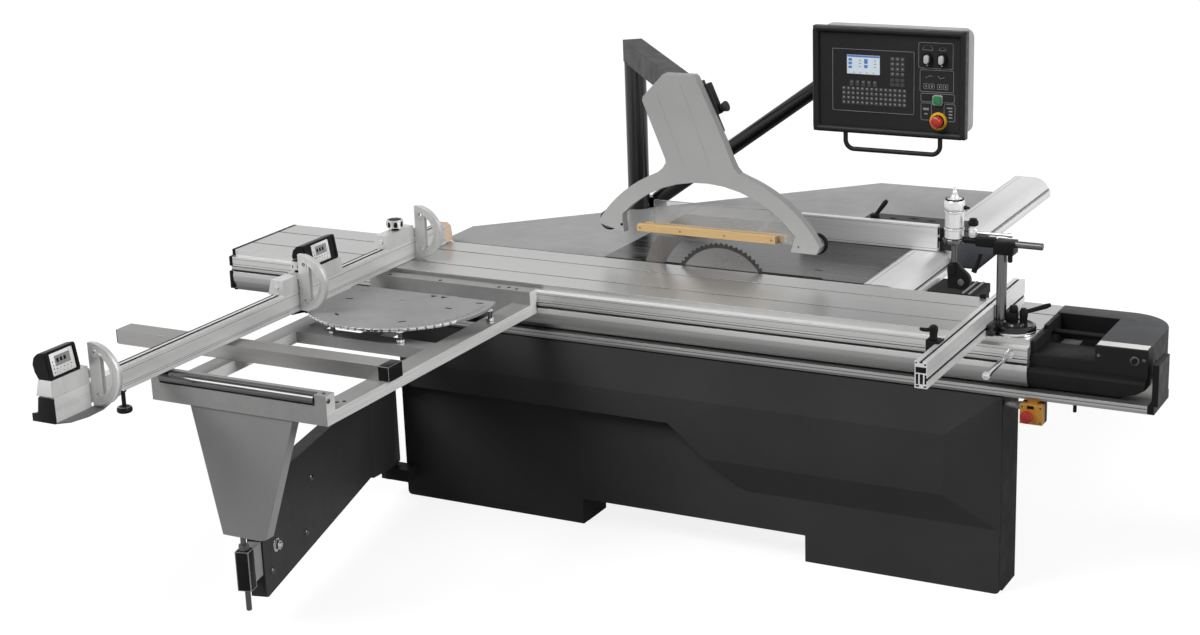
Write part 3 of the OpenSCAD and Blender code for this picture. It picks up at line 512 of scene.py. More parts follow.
def rounded(x, z, r, steps=5):
    """Outline of a rectangle with round corners."""
    left, right, low, high = x[0] + r, x[1] - r, z[0] + r, z[1] - r
    corners = ((right, high), (left, high), (left, low), (right, low))
    return [p for k, corner in enumerate(corners) for p in arc(corner, r, 90 * k, 90 * k + 90, steps)]


def sector(centre, r0, r1, a0, a1, steps=24):
    """Outline of a part of a ring."""
    return arc(centre, r1, a0, a1, steps) + arc(centre, r0, a1, a0, steps)


def display(name, body, y):
    """Face of a stop display: pale frame, grey screen with bars, and a row of keys on the sloping front."""
    slope = Vector((-15, 0, 86)).normalized()
    out = Vector((86, 0, 15)).normalized()
    side = Vector((0, 1, 0))
    place = Matrix((side, slope, out)).transposed().to_4x4()
    place.translation = (-1154, (y[0] + y[1]) / 2, TT + 132)
    add = on(body, place)
    half = (y[1] - y[0]) / 2
    wide = min(half - 10, 50)
    columns = [-wide * 0.66 + wide * 0.31 * k for k in range(5)]
    inner = rounded((-half + 9, half - 9), (9, 80), 4)
    add(name + "_hood", PLASTIC).band("z", rounded((-half, half), (2, 88), 8), inner, (-3, 3.2))
    add(name + "_plate", SATIN).prism("z", rounded((-wide, wide), (10, 79), 3), (-0.5, 1.2), 0.3)
    add(name + "_screen", LCD).prism("z", rounded((-wide * 0.62, wide * 0.70), (37, 69), 1.5), (0, 1.7))
    marks = add(name + "_marks", RUBBER)
    for k in range(3):
        x = -wide * 0.5 + 16 * k
        marks.block((x, x + 10), (48, 60), (1, 1.95), 0.2)
    for x in columns:
        marks.block((x + 2, x + 8), (28.5, 30.5), (1, 1.5), 0.1)
    for k in range(4):
        marks.lathe((-wide * 0.82, 20 + 11 * k, 1), [(2.2, 0), (2.2, 0.6), (0.3, 0.6)], 12)
    keys = add(name + "_keys", WHITE)
    for x in columns:
        keys.prism("z", rounded((x, x + wide * 0.24), (15, 26), 1.5), (0.5, 2.6), 0.4)


def key_row(piece, x, z, columns, rows, gap, y=502.2):
    """A grid of membrane keys between two corners."""
    wide = (x[1] - x[0] + gap) / columns
    high = (z[1] - z[0] + gap) / rows
    for i in range(columns):
        for j in range(rows):
            a, b = x[0] + wide * i, z[0] + high * j
            piece.prism("y", rounded((a, a + wide - gap), (b, b + high - gap), 1.5, 3), (y, 503.5), 0)


# Front cover: a folded plate on two feet, its returns, and the raised field with its facets

left, right, front, back, top, notch = -1146, 1209, -582, -542, TT - 200, 98
foot = [(left, 14), (left + 4, 4), (left + 14, 0), (-373, 0), (-373, notch), (507, notch), (507, 0),
        (right - 14, 0), (right - 4, 4), (right, 14)]
cover = (Piece("front_cover", "base", PANEL, FLOOR)
         .prism("y", foot + [(right, top), (left, top)], (front, back), 3))
for x0, x1, high in ((left, left + 6, top), (right - 6, right, top), (-379, -373, notch), (507, 513, notch)):
    cover.block((x0, x1), (back - 3, -407), (0, high), 1)
out = front - 40
points = [(-1090, front, top), (right - 4, front, top), (-1090, out, 558), (1022, out, 558),
          (-1090, out, 460), (0, out, 460), (142, out, 345), (1022, out, 345),
          (-1090, front, 460), (0, front, 460), (283, front, 231), (right - 4, front, 231)]
faces = [(0, 1, 3, 2), (2, 3, 7, 6, 5, 4), (6, 7, 11, 10), (3, 1, 11, 7), (4, 5, 9, 8), (5, 6, 10, 9),
         (0, 2, 4, 8), (0, 8, 9, 10, 11, 1)]
cover.facets(points, faces, 7)
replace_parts(cover.done(20), "front_panel")

# Base, rail and tables

add = on("base", FLOOR)
add("rail_slot_line", STEEL).block((-1249, 1679), (-590.4, -589), (TT - 177, TT - 174), 0.3)
add("rail_pin", PLASTIC).lathe((1446, -577, 680), [(4, 0), (6, 2), (6, 27)], 20)
lug = add("hinge_lugs", PLASTIC)
for low, high in ((79.4, 128.6), (461.4, 500.6)):
    (lug.lathe((-1190, -620, low), [(33, 0), (36, 3), (36, high - low - 3), (33, high - low)], 48)
     .screw((-1118, -652, (low + high) / 2), 6))
lug.lathe((-1190, -620, 500), [(15, 0), (15, 6), (9, 9), (0.5, 9)], 32)
(add("estop_box_back", PLASTIC).block((1268.2, 1345.2), (-562, -538), (623.2, 690.8), 4)
 .block((1293, 1316), (-593.2, -591.5), (677, 687), 0.6))
(add("estop_box_gland", STEELGREY).hexagon((1247, -560, 674), 14, 10, "x")
 .hexagon((1258, -560, 674), 15, 11, "x")
 .lathe((1209.5, -560, 674), [(9, 0), (9, 14), (11, 19), (11, 38)], 24, "x"))
screws = add("estop_box_screws", STEEL)
for x in (1276, 1337):
    for z in (631, 683):
        screws.screw((x, -592, z), 3.4)
head = [(15, 0), (18, -2), (21, -9), (21.5, -14), (20, -19), (14, -22.5), (0.5, -24)]
Piece("estop_box_mushroom", "estop_box_push", RED, FLOOR).lathe((1298, -601, TT - 246), head, 48, "y")
add = on("base")
guide = (-129.5, 1649.5)
add("guide_rail_lip", RAIL).block((694.5, 702), (-129, 1649), (-80, -52), 2.5)
(add("guide_rail_groove", STEEL).block((690, 696.5), guide, (-50, -45), 0.8)
 .block((553, 554.5), guide, (-2, -0.6), 0.2).block((571, 572.5), guide, (-2, -0.7), 0.2))
tray = add("tray_rails", STEELGREY)
for x in (838, 862):
    tray.block((x, x + 7), (92, 260), (-71, -66), 1)
(add("table_joint", RUBBER).block((-486.4, -485.4), (-135, 559), (-12, -0.8), 0)
 .block((-485, 549), (560.4, 561.6), (-12, -0.8), 0))
# A thin black sheet on the table along the blade's slot, and a short second one further back: painted shade
# of the openings.
(add("saw_slot_shade", RUBBER).prism("z", rounded((-336, 392), (-135.8, -121), 7), (-1, 0.25))
 .prism("z", rounded((322, 350), (-33, -25), 3.9), (-1, 0.25)))

# Carriage and its handle unit

add = on("carriage_body")
run = (-1908, 1286)
# Black strips down in the two top grooves and at the foot of the front recess: painted shade of the grooves.
groove_shade = add("carriage_groove_shade", RUBBER)
for y in (-443, -267):
    groove_shade.block(run, (y - 3.8, y + 3.8), (-3.6, -2.2), 0.3)
groove_shade.block(run, (-581, -561), (-77.4, -74.5), 0.3)
add("carriage_slot_strip", ALU_X).block((-1909, 1287), (-582.6, -561.5), (-74.6, -62.5), 1)
(add("carriage_front_lines", STEEL).block(run, (-582.3, -581), (-33, -31.6), 0.2)
 .block(run, (-582.3, -581), (-53, -51.6), 0.2))
rim = add("carriage_cap_rim", PLASTIC)
for y, z in (((-559, -149.2), (-23, 0.8)), ((-583, -540), (-61, -23)), ((-588, -540), (-150, -81)),
             ((-566, -513.5), (-162, -149))):
    rim.block((-1917, -1902), y, z, 0.8)
add("carriage_bumper", RUBBER).block((988, 1010), (-166, -152), (0, 13), 3)
(add("push_bar_collar", CHROME)
 .lathe((1228, -599, -48), [(13, 0), (15, 2), (15, 10), (17, 12), (17, 17)], 36, "y")
 .lathe((1228, -826, -48), [(4, 0), (10, 2), (13.6, 8), (13.6, 16), (10, 22), (9.3, 24)], 36, "y"))
edge = [(1288, -251), (1500.5, -251), (1500.5, -555), (1669, -555)]
edge += arc((1520, -315), 149, 0, 90, 16) + [(1288, -166)]
add("handle_cover", HANDLE_TOP).prism("z", edge, (4, 8), 1.2)
add("handle_strip", WHITE).block((1504, 1665), (-553, -508), (7.6, 8.6), 0.4)
trim = add("handle_screws", STEEL)
for x in (1511, 1656):
    trim.screw((x, -556, -27), 5.5)
trim.lathe((1627, -555.5, -32), [(15, 0), (15, -2.5), (12.5, -3.5), (11.5, -1)], 40, "y")
add("handle_shelf", HANDLE).block((1301, 1499.5), (-553, -412), (-49, -46.5), 1)
add("handle_plate", STEELGREY).block((1318, 1380), (-320, -262), (-80.5, -79.2), 0.3)
add("handle_seam", HANDLE).block((1288, 1669), (-577.5, -554), (-93.4, -89.6), 1)

# Crosscut table and fence

add = on("carriage_body")
bar, beam = -60, -11
dark = add("frame_holes", RUBBER)
for x, y, z in ((-553, -1774, bar), (-570, -1790, bar), (-1180, -1774, bar), (-671, -612, beam),
                (-598, -612, beam), (-634, -604, beam), (-923, -612, beam), (-1143, -612, beam)):
    dark.lathe((x, y, z - 0.5), [(7, 0), (7, 0.8), (5.6, 1.0), (0.5, 1.0)], 20)
thread = [(9 - 0.5 * (k % 2), 2 * k) for k in range(20)]
bolts = add("levelling_bolts", STEEL)
nuts = add("levelling_nuts", CHROME)
for x, y in ((-570, -850), (-728, -1182), (-1008, -1182)):
    bolts.lathe((x, y, -50), thread, 24)
    nuts.hexagon((x, y, -59.8), 15, 11).hexagon((x, y, -24), 14, 8)
add("roller_ends", STEEL).screw((-531.6, -1889, -20), 8, "x", 1.0, 4)
bracket = add("roller_bracket_screws", STEEL)
for x in (-1205, -555):
    bracket.screw((x, -1876, -2), 6, "z", 1.0, 3)
Piece("telescopic_clamp", "tele", PLASTIC).block((-563, -519), (-1568.6, -1486.8), (-59.3, -7.2), 4)
Piece("telescopic_plug", "tele", PLASTIC).block((-1652, -1645.5), (-1563, -1489), (-58, -9.5), 2)
add = on("fence")
run, pivot = (-2105, -201), (-880, -930)
(add("fence_top_slot", RUBBER).block((-1186.6, -1173.4), run, (FT - 3.2, FT - 1.2), 0.3)
 .block((-1204, -1197), run, (FT - 0.4, FT + 0.3), 0.2))
add("fence_scale", SCALE).block((-1171, -1157), (-2104, -201), (FT - 0.5, FT + 0.3), 0.2)
line = add("fence_side_lines", STEEL)
for z in (16, 22, 64):
    line.block((-1155.6, -1154.6), run, (z, z + 1.2), 0.2)
(add("fence_end_block", WOOD_PALE)
 .prism("x", [(-200, 3.5), (-200, 90), (-176, 84), (-152, 66), (-142, 3.5)], (-1203, -1157), 1.5))
(add("fence_foot", PLASTIC).knob((-1180, -2084, -78), 25, 20, lobes=0)
 .lathe((-1180, -2084, -58), [(7, 0), (7, 58)], 20).hexagon((-1180, -2084, -10), 13, 11))
(add("fence_clamps", PLASTIC).block((-1196, -1164), (-1100, -1060), (-12, 0.5), 2)
 .knob((-1180, -1080, -31), 19, 20, lobes=6)
 .tube([(-1180, -1080, -22), (-1200, -1102, -24), (-1222, -1128, -28)], [7, 6, 5]))
rim = add("mitre_plate_rim", CHROME)
for k in range(26):
    start = 202 + 136 * k / 26
    rim.prism("z", sector(pivot, 327, 337.2, start, start + 4.1, 4), (-9.2, 0.5), 0.8)
slots = add("mitre_plate_slots", RUBBER)
for x, y, turn in ((-1080, -970, 20), (-1010, -1150, -30), (-746, -1140, 40), (-680, -944, 0),
                   (-610, -850, 10)):
    slots.place = Matrix.Translation((x, y, TT)) @ Matrix.Rotation(math.radians(turn), 4, "Z")
    slots.prism("z", rounded((-14, 14), (-4.5, 4.5), 4.4), (-0.3, 0.25))
slots.place = TOP
for x in (-812, -770):
    slots.prism("z", [(x - 14, -826), (x + 14, -826), (x, -846)], (-0.3, 0.25))
for k in range(41):
    slots.place = Matrix.Translation((*pivot, TT)) @ Matrix.Rotation(math.radians(-62 + 1.8 * k), 4, "Z")
    slots.block((302 if k % 5 else 292, 316), (-0.5, 0.5), (-0.2, 0.15), 0)

# Stops and their displays

middle = 106
centre = (-1137, middle)
for where, y in (("front", -2250), ("middle", -1161), ("rear", -414)):
    rim = (Piece(f"flip_rim_{where}", f"flip_{where}", STOP_LIGHT)
           .prism("y", sector(centre, 94, 103.2, -84, 84, 40), (y - 7.4, y + 9.4), 1)
           .band("y", arc(centre, 79, -62, 62, 30) + [(-1108, middle + 70), (-1108, middle - 70)],
                 arc(centre, 71.6, -61, 61, 30) + [(-1102.6, middle + 63), (-1102.6, middle - 63)],
                 (y - 7.4, y + 9.4)))
    for hole in ((-1123, middle - 66), (-1123, middle + 66)):
        for span in ((y - 7.4, y - 5.9), (y + 7.9, y + 9.4)):
            rim.band("y", arc(hole, 13, 0, 345, 23), arc(hole, 8.2, 0, 345, 23), span)
    (Piece(f"flip_pin_{where}", f"flip_{where}", CHROME)
     .lathe((-1168, y - 6.2, 105), [(12, 0), (12, -1), (10, -1.6), (6.3, -1.6)], 28, "y"))
display("display_front", "extension", (-2420, -2290))
display("display_middle", "stop_middle", (-1100, -918))
for where, y, r, neck in (("middle", -1125, 24.5, [(14, 0), (12, 3)]),
                          ("rear", -505, 33, [(16, 0), (13, 3)])):
    (Piece(f"stop_{where}_knob", f"stop_{where}", PLASTIC).knob((-1180, y, FT + 64), r, 32)
     .lathe((-1180, y, FT + 53), neck + [(10, 12)], 28))
for where, y, r in (("middle", -1253, 9), ("rear", -600, 8)):
    Piece(f"stop_{where}_screws", f"stop_{where}", CHROME).screw((-1182, y, FT + 28), r, head=3)
add = on("extension")
(add("extension_cap", PLASTIC)
 .prism("y", [(-1208, FT - 1), (-1150, FT - 1), (-1150, -3), (-1240, -3), (-1240, 22), (-1216, 25)],
        (-2427, -2419), 1.5).block((-1240, -1208), (-2420, -2262), (-3, 20), 3))
(add("stop_front_end", STOP_LIGHT)
 .prism("y", [(-1217, FT + 2), (-1153, FT + 2), (-1156, FT + 52), (-1203, FT + 52)], (-2423, -2419.5), 1))
(add("rest_plate", PLATE_DARK)
 .prism("z", [(-1154, -2420.5), (-1119.5, -2391), (-1104.4, -2330), (-1107.4, -2259), (-1154, -2123)],
        (-4.3, 0.3), 0.2))

# Swing arm; its pieces are drawn along the arm

place = Matrix.Translation((-1190, -620, 0)) @ Matrix.Rotation(math.radians(13), 4, "Z")
add = on("arm", place)
bolts = add("swing_arm_bolts", STEEL)
for along, z in ((760, 366), (833, 190), (1130, 174)):
    bolts.lathe((-0.3, -along, z), [(12, 0), (12, 2), (9, 6), (4, 7.5), (0.5, 7.8)], 28, "x")
bolts.lathe((-0.3, -970, 264), [(3.5, 0), (3.5, 1), (0.5, 1.2)], 16, "x")
(add("swing_arm_nut", CHROME).lathe((-0.3, -1086, 250), [(25, 0), (25, 3), (22, 4)], 40, "x")
 .hexagon((3, -1086, 250), 18, 13, "x").lathe((16, -1086, 250), [(10, 0), (9, 5), (0.5, 5)], 24, "x"))
(add("swing_arm_knuckle", SWING)
 .prism("z", [(-24, 26), (24, 26), (34, 12), (34, -62), (0.6, -185), (-30, -185), (-30, 10)],
        (142, 456.5), 3))
(add("swing_arm_fold", SWING)
 .tube([(-3, -120, 455), (-3, -430, 475), (-3, -985, 477), (-3, -1187, 329), (-3, -1187, 106)], 3.4, 10))
Piece("arm_end_block", "tube", PLASTIC, place).block((-53, -3), (-1295, -1248), (166, 308), 8, 3)
(Piece("arm_spindle", "tube", STEEL, place)
 .lathe((-28, -1272, 92), [(7.5, 0), (9.4, 2), (9.4, 76)], 32).hexagon((-28, -1272, 307), 19, 12)
 .lathe((-28, -1272, 319), [(17, 0), (17, 5), (12, 8), (9.4, 8), (9.4, 35)], 32))

# Blade and riving knife: carbide tips and the darker band that the gullets leave

cy, cz, r, half, teeth = -142, 799, 200, 1.6, 60
step = 2 * math.pi / teeth
tooth = ((0, 0), (0.28, 4), (0.42, 11))
ring = [(step * (i + share), depth) for i in range(teeth) for share, depth in tooth]
(Piece("blade_rim", "blade", CARBIDE, FLOOR)
 .band("y", [((r + 0.3 - d) * math.cos(a), (r + 0.3 - d) * math.sin(a) + cz) for a, d in ring],
       [((r - 19) * math.cos(a), (r - 19) * math.sin(a) + cz) for a, d in ring],
       (cy - half - 0.25, cy + half + 0.25)))
knife = (Piece("knife_plate", "rise", KNIFE, FLOOR)
         .prism("y", arc((0, cz), 328, 194, 140.9, 16) + arc((0, cz), 252, 124.8, 194, 16),
                (cy - 1.2, cy + 1.2), 0.4).block((-318, -232), (cy + 1.1, -124), (cz - 60, cz - 5), 1.5))
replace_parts(knife.done(), "riving_knife")
(Piece("blade_flange", "blade", SATIN, FLOOR)
 .lathe((0, cy - half, cz), [(30.4, 0), (30.4, -1.2), (29, -2.2), (22, -2.2), (20, -4.2), (0.5, -4.2)],
        64, "y"))

# Guard; its clamp leans with the post

add = on("hood")
add("guard_sheet_edge", SHEET_EDGE).frame((-286.3, 300.3), (109.7, 232.3), 1.7, (4, 3), (-112.2, -107.8))
seams = add("hood_seams", HOOD_LIGHT)
for (x0, z0), (x1, z1) in (((-244, 637), (-139, 373)), ((-150, 685), (-35, 379))):
    seams.prism("y", [(x0, z0), (x0 + 2.4, z0), (x1 + 2.4, z1), (x1, z1)], (-150.5, -149.5))
add("hood_screws", RUBBER).lathe((309, -150.4, 115), [(3, 0), (3, 0.8)], 16, "y").screw((-404, -150, 136), 5)
nails = add("strip_screws", BRASS)
for x in (-336, -170, 9, 196):
    nails.screw((x, -136, 125), 4.5, head=1.2)
nails.screw((222, -84.2, 125), 4.5, "y", 1.0, 1.2)
for side, x, z in (("left", -478, 137), ("right", 362, 119)):
    (Piece(f"guard_tyre_{side}", f"roller_{side}", RUBBER)
     .lathe((x, -111.4, z), [(34, 0), (38.6, 2.5), (38.6, 8), (36, 9.7), (38.6, 11.4), (38.6, 17),
            (34, 19.8)], 56, "y"))
    (Piece(f"guard_hub_{side}", f"roller_{side}", STEELGREY)
     .band("y", arc((x, z), 31, 0, 350, 35), arc((x, z), 28, 0, 350, 35), (-112.4, -111))
     .lathe((x, -91.8, z), [(26, -0.5), (26, 1.2), (14, 1.6), (13, 4), (5, 4.4), (0.5, 4.4)], 36, "y"))
lean = Matrix.Translation((-150, 0, TT + 560)) @ Matrix.Rotation(math.radians(-23.5), 4, "Y")
(Piece("guard_clamp_block", "base", PLASTIC, lean).block((103, 133), (-111, -71), (-46, 74), 6, 3)
 .block((40, 106.6), (-110.6, -67.4), (60, 91), 4))
(Piece("guard_grip", "guard_knob_turn", ARM, lean)
 .lathe((133.4, -88, -28), [(7, 0), (7, 10), (9, 13), (15, 16), (19, 20), (20, 25), (18, 29), (10, 31),
        (0.5, 31.5)], 48, "x"))

# Control panel

add = on("panel", FLOOR)
shell = add("panel_shell", BOXPAINT).prism("y", rounded((108, 698), (1304, 1698), 34, 8), (529, 620), 5)
for low, high in ((TT + 644, TT + 659.5), (TT + 760.5, TT + 776)):
    shell.prism("z", [(312, 618), (368, 618)] + arc((340, 660), 28, 0, 180, 16), (low, high), 1.5)
(shell.lathe((340, 660, TT + 644), [(10, 0), (10, 132)], 32).hexagon((340, 660, TT + 776), 15, 9)
 .lathe((340, 660, TT + 776), [(18, 0), (18, 1.6)], 32))
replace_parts(shell.done(), "panel_box")
loops = [(0, 499.5), (0, 496), (3, 492.5), (9, 490.5), (15, 491.5), (20, 495), (23.5, 501), (24.5, 507)]
(add("panel_rim", BEZEL)
 .torus([[(x, y, z) for x, z in rounded((100 + d, 706 - d), (1298 + d, 1702 - d), max(18 - d, 4))]
         for d, y in loops]))
add("panel_film", KEYPAD).prism("y", rounded((125, 681), (1323, 1677), 6), (505.2, 507), 0)
print_y = (504.8, 505.4)
lines = add("panel_lines", PRINT).frame((178, 505), (1381, 1619), 1.5, (4, 2.5), (502.6, 503.2))
for x, z in (((520, 655), (1560, 1657)), ((526, 658), (1472, 1555)), ((530, 662), (1434, 1467)),
             ((531, 573), (1364, 1430)), ((621, 665), (1364, 1430))):
    lines.frame(x, z, 1.5, (6, 4.5), print_y)
for x, r in ((556, 20), (613, 13)):
    lines.band("y", arc((x, 1628), r, 0, 180, 20), arc((x, 1629.2), r - 1.6, 0, 180, 20), print_y)
for x, z, w, h in ((540, 1402, 22, 9), (545, 1386, 12, 5), (632, 1412, 22, 5), (640, 1400, 14, 5),
                   (640, 1388, 14, 5), (640, 1376, 14, 5)):
    lines.block((x, x + w), (504.7, 505.4), (z, z + h), 0.3)
for x in (541, 564, 594, 617):
    lines.frame((x, x + 19), (1483, 1503), 1.3, (3, 2), print_y)
    lines.block((x + 7.5, x + 11.5), (504.7, 505.4), (1488, 1498), 0.4)
for x0, z0, x1, z1 in ((548, 1524, 566, 1533), (566, 1533, 576, 1531), (596, 1534, 606, 1524),
                       (606, 1524, 622, 1528)):
    lines.tube([(x0, 504.9, z0), (x1, 504.9, z1)], 0.8, 6)
keys = add("panel_keys", KEY)
key_row(keys, (248, 357), (1478, 1501), 5, 1, 8)
key_row(keys, (410, 466), (1523, 1596), 3, 4, 4)
key_row(keys, (410, 466), (1485, 1516), 3, 2, 4)
key_row(keys, (217, 474), (1408, 1475), 14, 4, 3.5)
marks = add("panel_key_marks", PRINT)
key_row(marks, (254, 351), (1493, 1497), 5, 1, 17, 501.9)
key_row(marks, (416, 462), (1530, 1592), 3, 4, 13.5, 501.9)
key_row(marks, (221, 470), (1413, 1473), 14, 4, 12, 501.9)
add("panel_screen", SCREEN).prism("y", rounded((237, 368), (1525, 1597), 1.5), (502.0, 503.5))
bars = add("panel_screen_bars", SCREEN_BLUE).block((238, 367), (501.6, 502.6), (1589, 1596), 0.2)
for x, z, w, h in ((243, 1574, 14, 10), (243, 1560, 14, 10), (243, 1546, 14, 9), (306, 1565, 14, 18),
                   (306, 1549, 14, 12)):
    bars.block((x, x + w), (501.6, 502.6), (z, z + h), 0.2)
lit = add("panel_screen_dots", PRINT)
for x in (284, 345):
    for z in (1552, 1564, 1576):
        lit.block((x, x + 9), (501.5, 502.4), (z, z + 3), 0.2)
for k in range(4):
    lit.block((262 + 26 * k, 268 + 26 * k), (501.5, 502.4), (1529, 1532), 0.2)
turns = [2 * math.pi * k / 56 for k in range(56)]
(add("panel_estop_collar", YELLOW)
 .torus([[(601 + r * math.cos(a), 506 - h, 1363 + r * math.sin(a)) for a in turns]
         for r, h in ((34, 0), (34, 5), (31, 8), (29, 8.5), (25, 9), (24, 8), (24, 0))]))
(Piece("panel_estop_cap", "panel_estop_push", RED, FLOOR)
 .lathe((600, 497, 1363), [(17, 0), (18, -4), (22, -8), (22.6, -16), (21, -23), (15, -27), (0.5, -28.5)],
        48, "y"))
arrows = Piece("panel_estop_arrows", "panel_estop_push", WHITE, FLOOR)
for start in (20, 200):
    arrows.prism("y", sector((600, 1363), 13.5, 17.5, start, start + 75, 12), (471.0, 474.5))
(Piece("start_cap", "start_push", GREEN, FLOOR)
 .prism("y", rounded((582, 613), (1427, 1458), 6), (492.5, 500.2), 1.2))
add("start_bezel", WHITE).frame((578.5, 616.5), (1423.5, 1461.5), 2.7, (8, 6), (498, 506))
for side, x in (("left", 556), ("right", 613)):
    (add(f"switch_disc_{side}", PLASTIC)
     .band("y", rounded((x - 19, x + 19), (1566, 1619), 17),
           rounded((x - 15.6, x + 15.6), (1578.4, 1609.6), 15.5), (499, 506)))
    (Piece(f"switch_lever_{side}", f"switch_{side}", WHITE, FLOOR)
     .prism("y", rounded((x - 9, x + 9), (1580, 1612), 8.5), (482.5, 497.5), 1.5))
    diamond = [(x, 1567.5), (x + 5, 1572.5), (x, 1577.5), (x - 5, 1572.5)]
    add(f"switch_mark_{side}", PRINT).prism("y", diamond, (498.6, 499.4))

# Rip fence

slots = Piece("carrier_slots", "rip_slide", RUBBER)
for x, y, l in ((435, 470, 16), (511, 490, 20), (585, 480, 18), (583, 428, 12), (640, 505, 14)):
    (slots.prism("z", rounded((x - l, x + l), (y - 6, y + 6), 5.8), (83.5, 84.4))
     .screw((x, y, 84), 5, "z", 1.0, 2))
ends = Piece("rip_fence_end", "rip", RUBBER)
for y0, y1, z0, z1 in ((367, 387, 62, 90), (367, 380, 12, 54)):
    ends.block((649.5, 650.7), (y0, y1), (z0, z1), 0.4)
lip = Piece("rip_fence_lines", "rip", STEEL)
for z in (10, 90):
    lip.block((100, 649), (362.4, 363.4), (z, z + 1), 0.2)
plate = (Piece("carrier_plate", "rip_slide", UNIT)
         .prism("y", [(704, 78), (757, 78), (862, 40), (873, 12), (797, -56), (704, -56)], (391.3, 392.4),
                0.2))
for x, z in ((716, 66), (716, -44), (790, -40), (846, 36)):
    plate.screw((x, 391.6, z), 6, head=0.5)
(Piece("rip_lever_grip", "rip_lock", PLASTIC)
 .lathe((382, 420, 84.8), [(21, 0), (21, 5), (17.5, 8), (17.5, 22), (13, 26), (0.5, 26)], 40)
 .tube([(390, 423, 112), (404, 428, 132), (419, 433, 153), (425, 435, 162)], [7.4, 8.6, 9.4, 6], 20))

# Clamp bar

add = on("clamp")
front, back = -1148, -168
run = (front + 1, back - 1)
dark = (add("clamp_bar_slots", RUBBER).block((1124.3, 1133.7), run, (80.2, 83), 0.2)
        .block((1141.2, 1146), run, (24.3, 33.7), 0.2))
for x0, x1, z0, z1 in ((1112, 1146, 50, 68), (1113, 1121, 13, 46), (1126, 1136, 14, 46),
                       (1141, 1147, 15, 44), (1113, 1124, 5, 10), (1138, 1147, 4, 9),
                       (1111, 1117, 79, 83), (1139, 1146, 74, 79)):
    dark.block((x0, x1), (front - 0.5, front + 0.5), (z0, z1), 0.4)
(add("clamp_block", PLASTIC).block((1085, 1110.6), (-973, -917), (33, 92.3), 0.9)
 .block((1108, 1123.6), (-970, -920), (86.1, 92.3), 1.5).block((1078, 1086), (-966, -924), (40, 96), 2))
lever = (Piece("clamp_lever", "clamp_lock", PLASTIC)
         .lathe((1097, -945, 92.6), [(13, 0), (13.5, 3), (12, 8), (12.5, 22), (14.5, 30), (13, 42),
                (8, 47), (0.5, 48)], 36)
         .tube([(1092, -946, 126), (1077, -950, 123), (1063, -953, 124), (1055, -955, 126)],
               [8, 6.4, 6.2, 4.4], 20))
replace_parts(lever.done(), "clamp_knob")

# Hold-down

cx, cy, head, rod = 1168, -490, 262, 1005
add("hold_base_ring", CHROME).lathe((1216.5, cy, 0.6), [(67.4, 0), (68.4, 2), (68.4, 9), (67.4, 11)], 72)
(add("hold_base_casting", BLACK)
 .lathe((1216.5, cy, 11), [(68.4, 0), (69, 6), (67, 14), (58, 17), (50, 13.6), (30, 13.6), (26, 20),
        (0.5, 21)], 72).lathe((cx, cy, 20), [(25, 0), (24, 12), (21, 18), (17.2, 20)], 40)
 .block((1146.8, 1174), (-586, -522), (4, 42), 5)
 .prism("z", [(cx, cy - 20), (1240, cy - 26), (1240, cy + 26), (cx, cy + 20)], (20, 32), 3))
post = add("hold_post", POST).lathe((cx, cy, 20), [(17, 0), (17, 266), (16, 268), (0.5, 268)], 48)
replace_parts(post.done(), "hold_column")
(add("hold_column_collar", PLASTIC).block((cx + 10, cx + 52), (cy - 4, cy + 30), (31, 62), 4)
 .knob((cx + 38, cy + 14, 61), 15, 24, 5))
(add("hold_base_lever", PLASTIC)
 .lathe((1238, -470, 24), [(13, 0), (12, 14), (14, 30), (14, 40), (9, 52), (0.5, 54)], 36)
 .tube([(1244, -466, 64), (1270, -448, 70), (1300, -427, 78), (1312, -419, 82)], [7, 7.4, 8.4, 6], 20))
add = on("hold")
(add("hold_head", PLASTIC).block((1145, 1213), (cy - 29, cy + 29), (head - 0.6, head + 43), 7, 3)
 .block((1080, 1146), (cy - 15, cy + 15), (head + 16, head + 48), 5, 3)
 .tube([(1104, cy - 22, head - 2), (1096, cy - 24, head - 30), (1082, cy - 26, head - 66)], [7, 8, 9.5], 18)
 .lathe((1199, cy - 14, head - 26), [(5, 0), (8, 3), (8, 20), (6, 27)], 24))
add("hold_bar", STEEL).lathe((1212, cy, head + 32), [(11.5, 0), (11.5, 88), (9, 91), (0.5, 91)], 36, "x")
(add("hold_cylinder", SATIN)
 .lathe((rod, cy, head), [(31, 35.6), (31, 64), (33.2, 65.5), (33.2, 70), (31, 71.5), (31, 122),
        (33, 123.5), (33, 128), (31.2, 129), (31.2, 134), (33.6, 136), (33.6, 158), (31, 163),
        (24, 168.6), (14, 170), (12, 178), (9, 181), (9, 190), (6, 194), (4.6, 206), (0.5, 207)], 64))
(add("hold_cylinder_flange", POST)
 .lathe((rod, cy, head), [(27, 20), (36, 21.5), (36.5, 27), (36.5, 33), (35, 35), (31, 36)], 64))
bands = add("hold_cylinder_bands", RUBBER)
for h in (36.4, 72.2, 129.4):
    bands.lathe((rod, cy, head + h), [(31.4, 0), (31.4, 1.6)], 64)
(add("hold_valve", SATIN)
 .lathe((1069, cy, head + 44), [(12, 0), (14, 4), (14, 20), (11, 24), (11, 38)], 28)
 .hexagon((1069, cy, head + 64), 15, 9))
(add("hold_valve_cap", PLASTIC)
 .lathe((1069, cy, head + 82), [(13, 0), (17, 3), (17, 14), (15, 17), (12, 18), (12, 24), (0.5, 25)], 36)
 .lathe((1034, cy, head + 140), [(6, -4), (7, 0), (7, 12), (4, 14), (4, 22)], 20, "x"))
(add("hold_valve_link", CHROME)
 .lathe((1084, cy, head + 60), [(5, 0), (5, 100), (7, 101), (7, 116), (5, 118)], 20, "x"))
add = on("foot")
